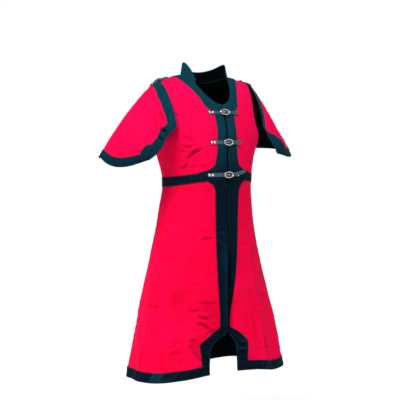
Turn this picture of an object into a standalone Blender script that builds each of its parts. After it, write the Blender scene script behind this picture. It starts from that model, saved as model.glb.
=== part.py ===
"""A padded knee-length gambeson, closed at the front with three buckled straps.

The coat is worn and hollow: a fitted bodice, a flared skirt with an arched slit, a low
collar, and two short sleeves that are open under the arm and hang from the shoulders.
The origin lies between the neck points of the shoulders, +Z is up and the front faces -Y.

Every cloth piece is cut from one smooth body form. A grid of points on that form gives
a panel's outer face, the same points moved in along the surface give its inner face,
and the trims are strips of the same grid moved out.
"""
import math

import bmesh
import bpy
import numpy as np
from mathutils import Matrix, Vector

# Cloth and seams, in metres
WALL = 0.004            # padded cloth of the panels
TRIM = 0.0015           # flat cloth sewn on as trim
SEAM = 0.0003           # between neighbouring pieces
FRONT_SLIT = 0.002      # between the two closed front edges
COLLAR_WALL = 0.0035
LEATHER = 0.0022
BAND_COLUMNS = 2        # grid columns under a trim
BODY_COLUMNS = 7        # grid columns from the trim to the side seam

# The shoulders' ridge and the armpit's level
ARMPIT_Z = -0.215
FRONT_CHEST = (1.4, 1.6)    # roundness of the chest's profile: across its depth, up its height
BACK_CHEST = (2.0, 2.0)


def table(columns, rows):
    """Named columns from rows of numbers."""
    return dict(zip(columns.split(), np.array(rows, float).T))


# Level sections of the body, from below the hem to the armpit
RINGS = table("z half_width front back squareness", [
    (-1.200, 0.330, 0.133, 0.166, 2.30),
    (-1.062, 0.310, 0.133, 0.164, 2.30),
    (-0.830, 0.259, 0.134, 0.171, 2.20),
    (-0.665, 0.216, 0.136, 0.174, 2.04),
    (-0.480, 0.177, 0.137, 0.146, 2.10),
    (-0.372, 0.162, 0.140, 0.106, 2.45),
    (-0.285, 0.185, 0.142, 0.120, 2.20),
    (-0.215, 0.206, 0.142, 0.128, 2.30),
])
RIDGE = table("x z", [(0.0, 0.006), (0.09, 0.0), (0.134, -0.008), (0.188, -0.022), (0.21, -0.033)])

# Seams that run round the body, by the angle from the middle of the front
WAIST = table("angle z", [(0, -0.372), (90, -0.392), (180, -0.398)])
HEM = table("angle z", [
    (-180, -1.072), (-140, -1.066), (-90, -1.055), (-35, -1.055), (0, -1.045), (20, -1.056),
    (45, -1.077), (85, -1.066), (140, -1.068), (180, -1.072),
])

# Soft folds of the skirt: the way round from the front, their width, and how far they
# stand out (or in) at the hem
FLUTES = table("angle width depth", [
    (-168, 15, 0.010), (-140, 13, -0.009), (-118, 12, 0.011), (-96, 11, -0.006),
    (-58, 16, 0.004), (-36, 12, -0.004), (30, 11, 0.006), (47, 10, -0.007), (64, 10, 0.008),
    (82, 10, -0.006), (104, 12, 0.010), (128, 13, -0.009), (150, 12, 0.009),
])
FLUTE_TOP = -0.52

# Edges of the bodice, by how far up they are: 0 waist seam, 1 armpit, 2 shoulder ridge
NECK_FRONT = table("rise x", [
    (1.372, 0.0), (1.384, 0.015), (1.445, 0.040), (1.541, 0.058), (1.653, 0.072),
    (1.762, 0.083), (2.0, 0.096),
])
NECK_BACK = table("rise x", [(1.688, 0.0), (1.700, 0.030), (1.750, 0.060), (1.850, 0.084), (2.0, 0.096)])
ARMHOLE = table("rise right left back", [
    (1.00, 0.207, 0.207, 0.207), (1.05, 0.196, 0.185, 0.197), (1.10, 0.186, 0.166, 0.189),
    (1.20, 0.178, 0.153, 0.183), (1.33, 0.181, 0.157, 0.181), (1.47, 0.182, 0.171, 0.182),
    (1.65, 0.183, 0.182, 0.184), (2.00, 0.188, 0.188, 0.188),
])

# The first columns' width at the waist seam, alike above and below it
WAIST_TRIM = 0.077
BACK_TRIM = 0.070

# Rows of the bodice's front: where each starts (centre line or neck) and ends (side seam
# or armhole), and the trim's width along it
BODICE_FRONT = table("start end trim", [
    (0.000, 0.000, WAIST_TRIM), (0.190, 0.190, 0.110), (0.250, 0.250, 0.072), (0.340, 0.340, 0.052),
    (0.500, 0.500, 0.045), (0.680, 0.670, 0.042), (0.860, 0.840, 0.041), (1.030, 1.000, 0.040),
    (1.150, 1.070, 0.040), (1.240, 1.160, 0.041), (1.300, 1.250, 0.045), (1.340, 1.330, 0.062),
    (1.372, 1.400, 0.072), (1.384, 1.470, 0.060), (1.445, 1.550, 0.042), (1.541, 1.640, 0.036),
    (1.653, 1.740, 0.037), (1.762, 1.860, 0.038), (2.000, 2.000, 0.039),
])
BODICE_BACK = table("start end trim", [
    (0.000, 0.000, BACK_TRIM), (0.190, 0.190, 0.068), (0.450, 0.450, 0.060), (0.720, 0.700, 0.060),
    (1.000, 0.940, 0.060), (1.150, 1.060, 0.058), (1.300, 1.200, 0.056), (1.430, 1.330, 0.054),
    (1.536, 1.450, 0.056), (1.620, 1.550, 0.088), (1.688, 1.640, 0.104), (1.700, 1.700, 0.081),
    (1.750, 1.780, 0.058), (1.850, 1.880, 0.044), (2.000, 2.000, 0.039),
])
WAISTBAND_ROWS = 1          # rows of the bodice under the waistband
NECK_TRIM_FRONT_ROW = 10    # the row where the neck trim starts
NECK_TRIM_BACK_ROW = 8

# Rows of the skirt, by the way down from the waist seam to the hem: where the front
# edge runs, with the arch that opens it below, and the width of its trim
SKIRT = table("down edge_right edge_left trim_right trim_left", [
    (0.000, 0.000, 0.000, WAIST_TRIM, WAIST_TRIM), (0.030, 0.000, 0.000, 0.055, 0.058),
    (0.060, 0.000, 0.000, 0.049, 0.051), (0.180, 0.000, 0.000, 0.048, 0.047),
    (0.330, 0.000, 0.000, 0.047, 0.043), (0.480, 0.000, 0.000, 0.044, 0.034),
    (0.620, 0.000, 0.000, 0.038, 0.022), (0.710, 0.000, 0.000, 0.034, 0.012),
    (0.757, 0.000, 0.000, 0.034, 0.010), (0.795, 0.004, 0.002, 0.070, 0.047),
    (0.813, 0.026, 0.010, 0.070, 0.057), (0.833, 0.050, 0.020, 0.063, 0.062),
    (0.856, 0.066, 0.029, 0.047, 0.059), (0.890, 0.074, 0.034, 0.037, 0.054),
    (0.947, 0.077, 0.037, 0.031, 0.051), (1.000, 0.077, 0.037, 0.031, 0.051),
])
HEM_TRIM_ROW = 14

# Sleeves: sections from the armhole (0) to the cuff (1). Each runs from the front edge
# over the top to the back edge; x is the way out from the middle, droop the sag of its front
SLEEVE = "along top_x top_z front_x front_y front_z back_x back_y back_z droop square"
SLEEVES = {
    "right": table(SLEEVE, [
        (0.00, 0.1902, -0.0225, 0.183, -0.108, -0.189, 0.186, 0.098, -0.172, 0.000, 1.50),
        (0.25, 0.2430, -0.0660, 0.224, -0.114, -0.226, 0.224, 0.104, -0.208, 0.004, 1.80),
        (0.55, 0.3200, -0.1570, 0.248, -0.112, -0.266, 0.262, 0.100, -0.246, 0.010, 2.00),
        (0.80, 0.3760, -0.2320, 0.264, -0.098, -0.286, 0.290, 0.088, -0.262, 0.020, 2.20),
        (1.00, 0.4170, -0.2890, 0.276, -0.084, -0.298, 0.318, 0.070, -0.268, 0.030, 2.20),
    ]),
    "left": table(SLEEVE, [
        (0.00, 0.1902, -0.0225, 0.193, -0.090, -0.180, 0.186, 0.098, -0.172, 0.000, 1.60),
        (0.25, 0.2290, -0.0700, 0.204, -0.102, -0.214, 0.220, 0.100, -0.208, 0.004, 1.80),
        (0.55, 0.2850, -0.1500, 0.224, -0.106, -0.248, 0.254, 0.094, -0.244, 0.010, 2.00),
        (0.80, 0.3330, -0.2130, 0.240, -0.102, -0.267, 0.276, 0.084, -0.254, 0.018, 2.20),
        (1.00, 0.3690, -0.2620, 0.254, -0.090, -0.280, 0.296, 0.070, -0.256, 0.026, 2.20),
    ]),
}
SLEEVE_TRIM = 0.036         # armhole and underarm trims
CUFF_TRIM = 0.033
SLEEVE_COLUMNS = 12
SLEEVE_ROWS = 8

# Collar: its height by the angle round the neck from the middle of the front
COLLAR = table("angle height lean", [
    (38, 0.003, 0.10), (50, 0.014, 0.15), (65, 0.031, 0.20), (82, 0.043, 0.22),
    (120, 0.041, 0.12), (180, 0.038, 0.10),
])
COLLAR_COLUMNS = 30
COLLAR_ROWS = 3

# Straps, each by its height, its ends, the lift of its tip from the cloth and its turn upward
STRAPS = table("z start tip tip_length tip_rise tip_turn", [
    (-0.139, -0.064, 0.058, 0.007, 0.000, 0.000),
    (-0.241, -0.069, 0.057, 0.007, 0.000, 0.000),
    (-0.353, -0.077, 0.068, 0.014, 0.010, 0.011),
])
TURN_FROM = 0.020            # where a tip starts to turn
STRAP_WIDTH = 0.014
ROUND_START = 0.0042         # length of the rounding at a strap's start
HUMP_STATIONS = np.linspace(-0.012, 0.012, 13)
STRAP_HUMP = 0.0030         # over the buckle's bar
HUMP_LENGTH = 0.0048
TAB_START, TAB_END = 0.0045, 0.050      # the leather under the tip, which holds the buckle
TAB_WIDTH = 0.012
TAB_LEATHER = 0.0018

# Buckles: an oval frame, pointed at its ends, a bar and a prong
BUCKLE_HALF = (0.0170, 0.0098)      # the frame's centre line: across, up
OVAL = (1.7, 2.4)                   # its squareness across and up; under 2 is pointed
BUCKLE_WIRE = 0.0019
BUCKLE_BAR = 0.0011
BAR_LEVEL = 0.0052                  # above the cloth
PRONG_RADIUS = 0.0007
PRONG_RISE = (0.0018, 0.0030)       # above the frame's middle, at its root and its tip
RIVET_RADIUS = 0.0046
RIVET_HEIGHT = 0.0018
RIVET_INSET = 0.0066
RIVET_PITCH = 0.0110
TAB_RIVET = (0.0445, -0.0025, 0.0030, 0.0012)     # across, below the strap's line, radius, height

# Shoulder tabs, which carry the sleeves: their sections on the bodice, by the way out from
# the middle, and on the sleeve, by the way from its edge, each with its lift
TAB_ON_BODY = [(0.152, SEAM), (0.161, SEAM), (0.170, 0.0005), (0.179, 0.0016), (0.186, 0.0037)]
TAB_ON_SLEEVE = [(0.002, 0.0040), (0.010, 0.0033), (0.018, 0.0028), (0.026, 0.0024), (0.034, 0.0023)]
SHOULDER_TAB_HALF = 0.011
STUD_RADIUS = 0.0045
STUD_HEIGHT = 0.0024

SIDES = {"right": -1, "left": 1}
FRONT, BACK = 1, -1

MATERIALS = {
    "red_cloth": ((0.80, 0.003, 0.035), 0.85, 0.0),
    "teal_cloth": ((0.008, 0.045, 0.070), 0.85, 0.0),
    "leather": ((0.012, 0.030, 0.034), 0.55, 0.0),
    "steel": ((0.62, 0.60, 0.58), 0.35, 1.0),
    "brass": ((0.60, 0.42, 0.15), 0.35, 1.0),
}


def blend(knots, values, where):
    """A smooth curve through the knots, level past both ends."""
    slopes = np.gradient(values, knots)
    slopes[0] = slopes[-1] = 0.0
    where = np.asarray(where, float)
    index = np.clip(np.searchsorted(knots, where) - 1, 0, len(knots) - 2)
    span = knots[index + 1] - knots[index]
    part = np.clip((where - knots[index]) / span, 0.0, 1.0)
    square, cube = part ** 2, part ** 3
    start = (2 * cube - 3 * square + 1) * values[index] + (cube - 2 * square + part) * span * slopes[index]
    end = (3 * square - 2 * cube) * values[index + 1] + (cube - square) * span * slopes[index + 1]
    return start + end


def signed_power(value, power):
    return np.sign(value) * np.abs(value) ** power


def flute_depth(around, z):
    """How far the skirt's folds stand out, growing from FLUTE_TOP to the hem."""
    fall = np.clip((FLUTE_TOP - z) / (FLUTE_TOP - HEM["z"].min()), 0.0, None) ** 1.3
    depth = np.zeros(np.broadcast(around, z).shape)
    for centre, width, height in zip(FLUTES["angle"], FLUTES["width"], FLUTES["depth"]):
        away = (around - centre + 180.0) % 360.0 - 180.0
        depth = depth + height * np.exp(-(away / width) ** 2 * 1.6)
    return depth * fall


def body_point(angle, rise, facing):
    """A point of the body's outer surface.

    angle: degrees from the middle of the front or back, -90 and 90 at the side seams.
    rise: -1 hem, 0 waist seam, 1 armpit, 2 shoulder ridge.
    facing: FRONT or BACK.
    """
    angle, rise = np.broadcast_arrays(np.asarray(angle, float), np.asarray(rise, float))
    swing = np.radians(angle)
    around = np.where(facing == FRONT, angle, np.sign(angle + 1e-9) * 180.0 - angle)
    waist = blend(WAIST["angle"], WAIST["z"], np.abs(around))
    hem = blend(HEM["angle"], HEM["z"], around)
    low = np.where(rise < 0, waist + rise * (waist - hem), waist + rise * (ARMPIT_Z - waist))
    low = np.minimum(low, ARMPIT_Z)
    half, front, back, square = (blend(RINGS["z"], RINGS[name], low)
                                 for name in ("half_width", "front", "back", "squareness"))
    across = half * signed_power(np.sin(swing), 2 / square)
    lift = np.radians(np.clip(rise - 1.0, 0.0, None) * 90.0)
    is_front = np.sign(np.cos(swing)) * np.sign(np.cos(lift)) * facing >= 0
    depth = np.where(is_front, front, back) * np.abs(np.cos(swing)) ** (2 / square)
    across_power = np.where(is_front, FRONT_CHEST[0], BACK_CHEST[0])
    height_power = np.where(is_front, FRONT_CHEST[1], BACK_CHEST[1])
    depth = depth * np.abs(np.cos(lift)) ** (2 / across_power)
    ridge = blend(RIDGE["x"], RIDGE["z"], np.abs(across))
    z = low + (ridge - ARMPIT_Z) * np.sin(lift) ** (2 / height_power)
    y = np.where(is_front, -depth, depth)
    out = flute_depth(around, low) / np.maximum(np.hypot(across, y), 0.05)
    return np.stack([across * (1 + out), y * (1 + out), z], -1)


def body_normal(angle, rise, facing):
    """Outward normals, from the surface's slopes on both sides of a point."""
    turn, step = 0.5, 0.004
    along = body_point(angle + turn, rise, facing) - body_point(angle - turn, rise, facing)
    up = body_point(angle, rise + step, facing) - body_point(angle, rise - step, facing)
    normal = np.cross(along, up) * facing
    return normal / np.linalg.norm(normal, axis=-1, keepdims=True)


def angle_at(x, rise, facing):
    """The angle whose point lies x metres from the middle."""
    angles = np.linspace(0.0, 90.0, 361)
    reach = body_point(angles, np.full(361, rise), facing)[:, 0]
    return float(np.interp(x, reach, angles))


def front_spot(x, z):
    """Angle and rise of the point of the front at x and z."""
    rises = np.linspace(-1.0, 2.0, 1201)
    angle = angle_at(abs(x), 0.5, FRONT)
    for _ in range(3):
        heights = body_point(np.full(1201, angle), rises, FRONT)[:, 2]
        rise = float(np.interp(z, heights, rises))
        angle = angle_at(abs(x), rise, FRONT)
    return math.copysign(angle, x), rise


def stations(length, first, first_parts, parts):
    """Distances along a row: first_parts to the trim's edge, then parts to the end."""
    near = np.linspace(0.0, first, first_parts + 1)
    return np.concatenate([near, np.linspace(first, length, parts + 1)[1:]])


def spread(points, distances):
    """Places along a polyline, as fractions of its samples, at distances from its start."""
    steps = np.linalg.norm(np.diff(points, axis=0), axis=1)
    lengths = np.concatenate([[0.0], np.cumsum(steps)])
    return np.interp(distances, lengths, np.linspace(0.0, 1.0, len(points)))


def row_length(points):
    return float(np.linalg.norm(np.diff(points, axis=0), axis=1).sum())


def body_grid(rows, sign, facing):
    """Points and normals of a panel's outer face.

    rows: (start angle, start rise, end angle, end rise, trim width), angles unsigned.
    """
    samples = np.linspace(0.0, 1.0, 161)
    angles, rises = [], []
    for start_angle, start_rise, end_angle, end_rise, trim in rows:
        angle = start_angle + (end_angle - start_angle) * samples
        rise = start_rise + (end_rise - start_rise) * samples
        line = body_point(sign * angle, rise, facing)
        places = spread(line, stations(row_length(line), trim, BAND_COLUMNS, BODY_COLUMNS))
        angles.append(sign * (start_angle + (end_angle - start_angle) * places))
        rises.append(start_rise + (end_rise - start_rise) * places)
    angles, rises = np.array(angles), np.array(rises)
    return body_point(angles, rises, facing), body_normal(angles, rises, facing)


def drawn_in(points, first_column=SEAM / 2):
    """The grid with its four edges drawn in, so that neighbours stay apart."""
    points = points.copy()
    edges = [(points[:, 0], points[:, 1], first_column), (points[:, -1], points[:, -2], SEAM / 2),
             (points[0], points[1], SEAM / 2), (points[-1], points[-2], SEAM / 2)]
    for edge, inner, distance in edges:
        way = inner - edge
        edge += way / np.linalg.norm(way, axis=-1, keepdims=True) * distance
    return points


def wall_faces(rows, columns, open_rows=0):
    """Triangles of a wall between an outer and an inner grid of rows by columns points.

    The first open_rows spans of the first column get no edge faces, for a mirrored half
    to be joined there. An edge face's diagonal runs the same way on both sides of a seam.
    """
    def outer(row, column):
        return row * columns + column

    def inner(row, column):
        return rows * columns + row * columns + column

    triangles = []
    for row in range(rows - 1):
        for column in range(columns - 1):
            ring = [(row, column), (row, column + 1), (row + 1, column + 1), (row + 1, column)]
            for skin in (outer, inner):
                a, b, c, d = [skin(*corner) for corner in ring]
                triangles += [(a, b, c), (a, c, d)]
    border = [(0, column) for column in range(columns)]
    border += [(row, columns - 1) for row in range(1, rows)]
    border += [(rows - 1, column) for column in range(columns - 2, -1, -1)]
    border += [(row, 0) for row in range(rows - 2, 0, -1)]
    for first, second in zip(border, border[1:] + border[:1]):
        if first[1] == 0 and second[1] == 0 and max(first[0], second[0]) <= open_rows:
            continue
        a, b, c, d = outer(*second), outer(*first), inner(*first), inner(*second)
        triangles += [(a, b, c), (a, c, d)] if second > first else [(a, b, d), (b, c, d)]
    return triangles


def wall(outer, inner, open_rows=0):
    """Vertices and faces of a closed wall between two grids of points."""
    rows, columns = outer.shape[:2]
    vertices = np.concatenate([outer.reshape(-1, 3), inner.reshape(-1, 3)])
    return vertices, wall_faces(rows, columns, open_rows)


def material(name):
    found = bpy.data.materials.get(name)
    if found:
        return found
    colour, roughness, metallic = MATERIALS[name]
    made = bpy.data.materials.new(name)
    made.use_nodes = True
    shader = made.node_tree.nodes["Principled BSDF"]
    shader.inputs["Base Color"].default_value = (*colour, 1.0)
    shader.inputs["Roughness"].default_value = roughness
    shader.inputs["Metallic"].default_value = metallic
    made.diffuse_color = (*colour, 1.0)
    return made


def collection():
    found = bpy.data.collections.get("gambeson")
    if found is None:
        found = bpy.data.collections.new("gambeson")
        bpy.context.scene.collection.children.link(found)
    return found


def link_mesh(name, work, material_name, smooth_angle=40):
    """An object from a bmesh, its faces turned outward and its soft edges shaded smooth."""
    bmesh.ops.recalc_face_normals(work, faces=work.faces)
    mesh = bpy.data.meshes.new(name)
    work.to_mesh(mesh)
    work.free()
    mesh.materials.append(material(material_name))
    mesh.shade_smooth()
    mesh.set_sharp_from_angle(angle=math.radians(smooth_angle))
    made = bpy.data.objects.new(name, mesh)
    collection().objects.link(made)
    return made


def add_object(name, parts, material_name, smooth_angle=40):
    """One object from (vertices, faces) pairs, welded where they share an edge."""
    work = bmesh.new()
    for vertices, faces in parts:
        corners = [work.verts.new(tuple(map(float, vertex))) for vertex in vertices]
        for face in faces:
            work.faces.new([corners[index] for index in face])
    if len(parts) > 1:
        bmesh.ops.remove_doubles(work, verts=work.verts, dist=1e-6)
    return link_mesh(name, work, material_name, smooth_angle)


def panel(name, grids, first_column=SEAM / 2, open_rows=0):
    """A padded panel from one grid, or from two that join along the middle's open_rows."""
    parts = []
    for points, normals in grids:
        outer = drawn_in(points, first_column)
        inner = outer - normals * WALL
        if open_rows:
            middle = slice(0, open_rows + 1)
            whole = drawn_in(points, 0.0)
            outer[middle, 0], inner[middle, 0] = whole[middle, 0], (whole - normals * WALL)[middle, 0]
            outer[middle, 0, 0] = inner[middle, 0, 0] = 0.0
        parts.append(wall(outer, inner, open_rows))
    return add_object(name, parts, "red_cloth")


def trim(name, grids, rows, columns, first_column=SEAM / 2, open_rows=0):
    """A trim over some rows and columns of one or two panels' grids."""
    parts = []
    for points, normals in grids:
        cut, out = points[rows, columns], normals[rows, columns]
        flat = drawn_in(cut, first_column)
        if open_rows:
            middle = slice(0, open_rows + 1)
            flat[middle, 0] = drawn_in(cut, 0.0)[middle, 0]
        inner, outer = flat + out * SEAM, flat + out * (SEAM + TRIM)
        if open_rows:
            inner[middle, 0, 0] = outer[middle, 0, 0] = 0.0
        parts.append(wall(outer, inner, open_rows))
    return add_object(name, parts, "teal_cloth")


def bodice_rows(rows, neck, armhole, facing):
    """Row ends of a bodice panel, from the neck's and the armhole's edges."""
    made = []
    for start, end, width in zip(rows["start"], rows["end"], rows["trim"]):
        start_x = float(blend(neck["rise"], neck["x"], start)) if start >= neck["rise"][0] else 0.0
        end_x = float(np.interp(end, ARMHOLE["rise"], ARMHOLE[armhole]))
        start_angle = angle_at(start_x, start, facing)
        end_angle = 90.0 if end <= 1.0 else angle_at(end_x, end, facing)
        made.append((start_angle, start, end_angle, end, width))
    return made


def skirt_rows(edge, widths, facing):
    made = []
    for down, start_x, width in zip(SKIRT["down"], edge, widths):
        made.append((angle_at(start_x, -down, facing), -down, 90.0, -down, width))
    return made


def make_bodice():
    band = slice(0, BAND_COLUMNS + 1)
    everything = slice(None)
    waist_rows = slice(0, WAISTBAND_ROWS + 1)
    for side, sign in SIDES.items():
        rows = bodice_rows(BODICE_FRONT, NECK_FRONT, side, FRONT)
        grid = [body_grid(rows, sign, FRONT)]
        panel(f"bodice_front_{side}", grid, FRONT_SLIT / 2)
        trim(f"waistband_{side}", grid, waist_rows, everything, FRONT_SLIT / 2)
        front = slice(WAISTBAND_ROWS, NECK_TRIM_FRONT_ROW + 1)
        trim(f"front_band_{side}", grid, front, band, FRONT_SLIT / 2)
        neck = slice(NECK_TRIM_FRONT_ROW, None)
        trim(f"neck_trim_{side}", grid, neck, band, FRONT_SLIT / 2)
    rows = bodice_rows(BODICE_BACK, NECK_BACK, "back", BACK)
    grids = [body_grid(rows, sign, BACK) for sign in SIDES.values()]
    neck_row = int(np.searchsorted(BODICE_BACK["start"], NECK_BACK["rise"][0]))
    panel("bodice_back", grids, SEAM / 2, neck_row)
    trim("waistband_back", grids, waist_rows, everything, 0.0, WAISTBAND_ROWS)
    neck = slice(NECK_TRIM_BACK_ROW, None)
    trim("neck_trim_back", grids, neck, band, SEAM / 2, neck_row - NECK_TRIM_BACK_ROW)


def make_skirt():
    band = slice(0, BAND_COLUMNS + 1)
    everything = slice(None)
    hem = slice(HEM_TRIM_ROW, None)
    for side, sign in SIDES.items():
        rows = skirt_rows(SKIRT[f"edge_{side}"], SKIRT[f"trim_{side}"], FRONT)
        grid = [body_grid(rows, sign, FRONT)]
        panel(f"skirt_front_{side}", grid, FRONT_SLIT / 2)
        trim(f"skirt_band_{side}", grid, slice(0, HEM_TRIM_ROW + 1), band, FRONT_SLIT / 2)
        trim(f"hem_trim_{side}", grid, hem, everything, FRONT_SLIT / 2)
    middle = np.zeros(len(SKIRT["down"]))
    rows = skirt_rows(middle, middle + BACK_TRIM, BACK)
    grids = [body_grid(rows, sign, BACK) for sign in SIDES.values()]
    panel("skirt_back", grids, 0.0, len(middle) - 1)
    trim("hem_trim_back", grids, hem, everything, 0.0, len(middle) - 1 - HEM_TRIM_ROW)


def sleeve_point(side, along, across):
    """A point of a sleeve's outer surface; across is -1 front edge, 0 top, 1 back edge."""
    data = SLEEVES[side]
    value = {name: blend(data["along"], data[name], along) for name in data}
    swing = np.radians(np.abs(across) * 90.0)
    forward = np.sin(swing) ** (2 / value["square"])
    down = 1 - np.abs(np.cos(swing)) ** (2 / value["square"])
    ahead = across < 0
    edge_x = np.where(ahead, value["front_x"], value["back_x"])
    edge_y = np.where(ahead, value["front_y"], value["back_y"])
    edge_z = np.where(ahead, value["front_z"], value["back_z"])
    x = value["top_x"] + (edge_x - value["top_x"]) * down
    y = edge_y * forward
    z = value["top_z"] + (edge_z - value["top_z"]) * down - value["droop"] * np.sin(2 * swing) * ahead
    return np.stack([x * SIDES[side], y, z], -1)


def sleeve_normal(side, along, across):
    step = 0.004
    far = sleeve_point(side, along + step, across) - sleeve_point(side, along - step, across)
    over = sleeve_point(side, along, across + step) - sleeve_point(side, along, across - step)
    normal = np.cross(over, far) * -SIDES[side]
    return normal / np.linalg.norm(normal, axis=-1, keepdims=True)


def sleeve_grid(side):
    """Rows from the armhole to the cuff, columns from the front edge to the back edge."""
    fine = np.linspace(0.0, 1.0, 41)
    sweep = np.linspace(-0.995, 0.995, 161)
    across = []
    for along in fine:
        line = sleeve_point(side, np.full(161, along), sweep)
        length = row_length(line)
        middle = np.linspace(SLEEVE_TRIM, length - SLEEVE_TRIM, SLEEVE_COLUMNS - 1)
        places = spread(line, np.concatenate([[0.0], middle, [length]]))
        across.append(sweep[0] + (sweep[-1] - sweep[0]) * places)
    across = np.array(across)
    grid_along, grid_across = [], []
    for column in range(SLEEVE_COLUMNS + 1):
        line = sleeve_point(side, fine, across[:, column])
        length = row_length(line)
        middle = np.linspace(SLEEVE_TRIM, length - CUFF_TRIM, SLEEVE_ROWS - 1)
        along = spread(line, np.concatenate([[0.0], middle, [length]]))
        grid_along.append(along)
        grid_across.append(np.interp(along, fine, across[:, column]))
    along, over = np.array(grid_along).T, np.array(grid_across).T
    return sleeve_point(side, along, over), sleeve_normal(side, np.clip(along, 0.01, 0.99), over)


def make_sleeves():
    for side in SIDES:
        grid = [sleeve_grid(side)]
        panel(f"sleeve_{side}", grid)
        trim(f"armhole_trim_{side}", grid, slice(0, 2), slice(None))
        trim(f"cuff_trim_{side}", grid, slice(-2, None), slice(None))
        between = slice(1, SLEEVE_ROWS)
        trim(f"underarm_trim_front_{side}", grid, between, slice(0, 2))
        trim(f"underarm_trim_back_{side}", grid, between, slice(-2, None))


def neck_line():
    """The bodice's neck edge, from the middle of the front over the left shoulder to the back."""
    edge = []
    for rows, neck, facing in ((BODICE_FRONT, NECK_FRONT, FRONT), (BODICE_BACK, NECK_BACK, BACK)):
        rises = rows["start"][rows["start"] >= neck["rise"][0]]
        line = [body_point(angle_at(float(blend(neck["rise"], neck["x"], rise)), rise, facing),
                           rise, facing) for rise in rises]
        edge += line if facing == FRONT else line[-2::-1]
    return np.array(edge)


def make_collar():
    """A low stand collar inside the neck's edge, run out to nothing at the front."""
    half = neck_line()
    line = np.concatenate([half * (-1, 1, 1), half[::-1][1:]])
    away = np.degrees(np.arctan2(np.abs(line[:, 0]), -line[:, 1]))
    line = line[away >= COLLAR["angle"][0]]
    places = spread(line, np.linspace(0.0, row_length(line), COLLAR_COLUMNS + 1))
    count = np.linspace(0.0, 1.0, len(line))
    base = np.stack([np.interp(places, count, line[:, axis]) for axis in range(3)], -1)
    away = np.degrees(np.arctan2(np.abs(base[:, 0]), -base[:, 1]))
    height = blend(COLLAR["angle"], COLLAR["height"], away)
    lean = blend(COLLAR["angle"], COLLAR["lean"], away)
    inward = -base[:, :2] / np.linalg.norm(base[:, :2], axis=1, keepdims=True)
    outer, inner = [], []
    for row in np.linspace(0.0, 1.0, COLLAR_ROWS + 1):
        rise = height * row
        shift = 2 * SEAM + rise * lean
        spot = base.copy()
        spot[:, :2] += inward * shift[:, None]
        spot[:, 2] += rise
        outer.append(spot)
        back = spot.copy()
        back[:, :2] += inward * COLLAR_WALL
        inner.append(back)
    add_object("collar", [wall(np.array(outer), np.array(inner))], "teal_cloth")


def strap_stations(start, tip, tip_length):
    """Places along a strap, close together at its ends and over the buckle's bar."""
    near = start + ROUND_START * np.array([0.0, 0.25, 0.6, 1.0])
    far = tip - tip_length * np.array([1.0, 0.55, 0.25, 0.08, 0.0])
    before = np.linspace(near[-1], HUMP_STATIONS[0], 5)
    after = np.linspace(HUMP_STATIONS[-1], far[0], 5)
    return np.concatenate([near[:-1], before, HUMP_STATIONS[1:-1], after, far[1:]])


def strap_halves(xs, start, tip, width, tip_length):
    """Half the strap's width along it, rounded at its start and over tip_length at its tip."""
    half = width / 2
    near = np.clip((start + ROUND_START - xs) / ROUND_START, 0, 1)
    far = np.clip((xs - (tip - tip_length)) / tip_length, 0, 1)
    return half * np.sqrt(np.clip(1 - near ** 2, 0.06, 1)) * np.sqrt(np.clip(1 - far ** 2, 0.03, 1))


def front_strip(name, heights, xs, halves, lifts, thickness):
    """A strip of leather across the front, its under face lifts above the cloth."""
    outer, inner = [], []
    for x, z, half, lift in zip(xs, heights, halves, lifts):
        spot = front_spot(float(x), float(z))
        point, normal = body_point(*spot, FRONT), body_normal(*spot, FRONT)
        upright = np.array([0.0, 0.0, 1.0]) - normal * normal[2]
        upright /= np.linalg.norm(upright)
        across = np.array([-half, 0.0, half])[:, None] * upright
        inner.append(point + normal * lift + across)
        outer.append(point + normal * (lift + thickness) + across)
    return add_object(name, [wall(np.array(outer), np.array(inner))], "leather")


def dome(name, centre, normal, radius, height, material_name):
    """A low domed rivet head that sits on centre and faces along normal."""
    work = bmesh.new()
    bmesh.ops.create_uvsphere(work, u_segments=12, v_segments=6, radius=1.0)
    low = [vertex for vertex in work.verts if vertex.co.z < -1e-6]
    bmesh.ops.delete(work, geom=low, context="VERTS")
    bmesh.ops.contextual_create(work, geom=[edge for edge in work.edges if edge.is_boundary])
    scale = Matrix.Diagonal((radius, radius, height, 1.0))
    turn = Vector(normal).to_track_quat("Z", "Y").to_matrix().to_4x4()
    bmesh.ops.transform(work, verts=work.verts, matrix=Matrix.Translation(centre) @ turn @ scale)
    return link_mesh(name, work, material_name)


def tube(points, radius, sides, closed=False):
    """Vertices and faces of a tube round a line of points that never runs along Y."""
    points = np.array(points, float)
    ahead = np.roll(points, -1, axis=0) - np.roll(points, 1, axis=0)
    if not closed:
        ahead[0], ahead[-1] = points[1] - points[0], points[-1] - points[-2]
    ahead /= np.linalg.norm(ahead, axis=1, keepdims=True)
    beside = np.cross(ahead, (0.0, 1.0, 0.0))
    beside /= np.linalg.norm(beside, axis=1, keepdims=True)
    other = np.cross(ahead, beside)
    turns = np.linspace(0.0, 2 * math.pi, sides, endpoint=False)
    rings = [point + radius * (math.cos(turn) * right + math.sin(turn) * up)
             for point, right, up in zip(points, beside, other) for turn in turns]
    faces = []
    count = len(points)
    for index in range(count if closed else count - 1):
        after = (index + 1) % count
        for turn in range(sides):
            beyond = (turn + 1) % sides
            faces.append((index * sides + turn, index * sides + beyond,
                          after * sides + beyond, after * sides + turn))
    if not closed:
        faces.append(tuple(range(sides)))
        faces.append(tuple((count - 1) * sides + turn for turn in range(sides)))
    return rings, faces


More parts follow.
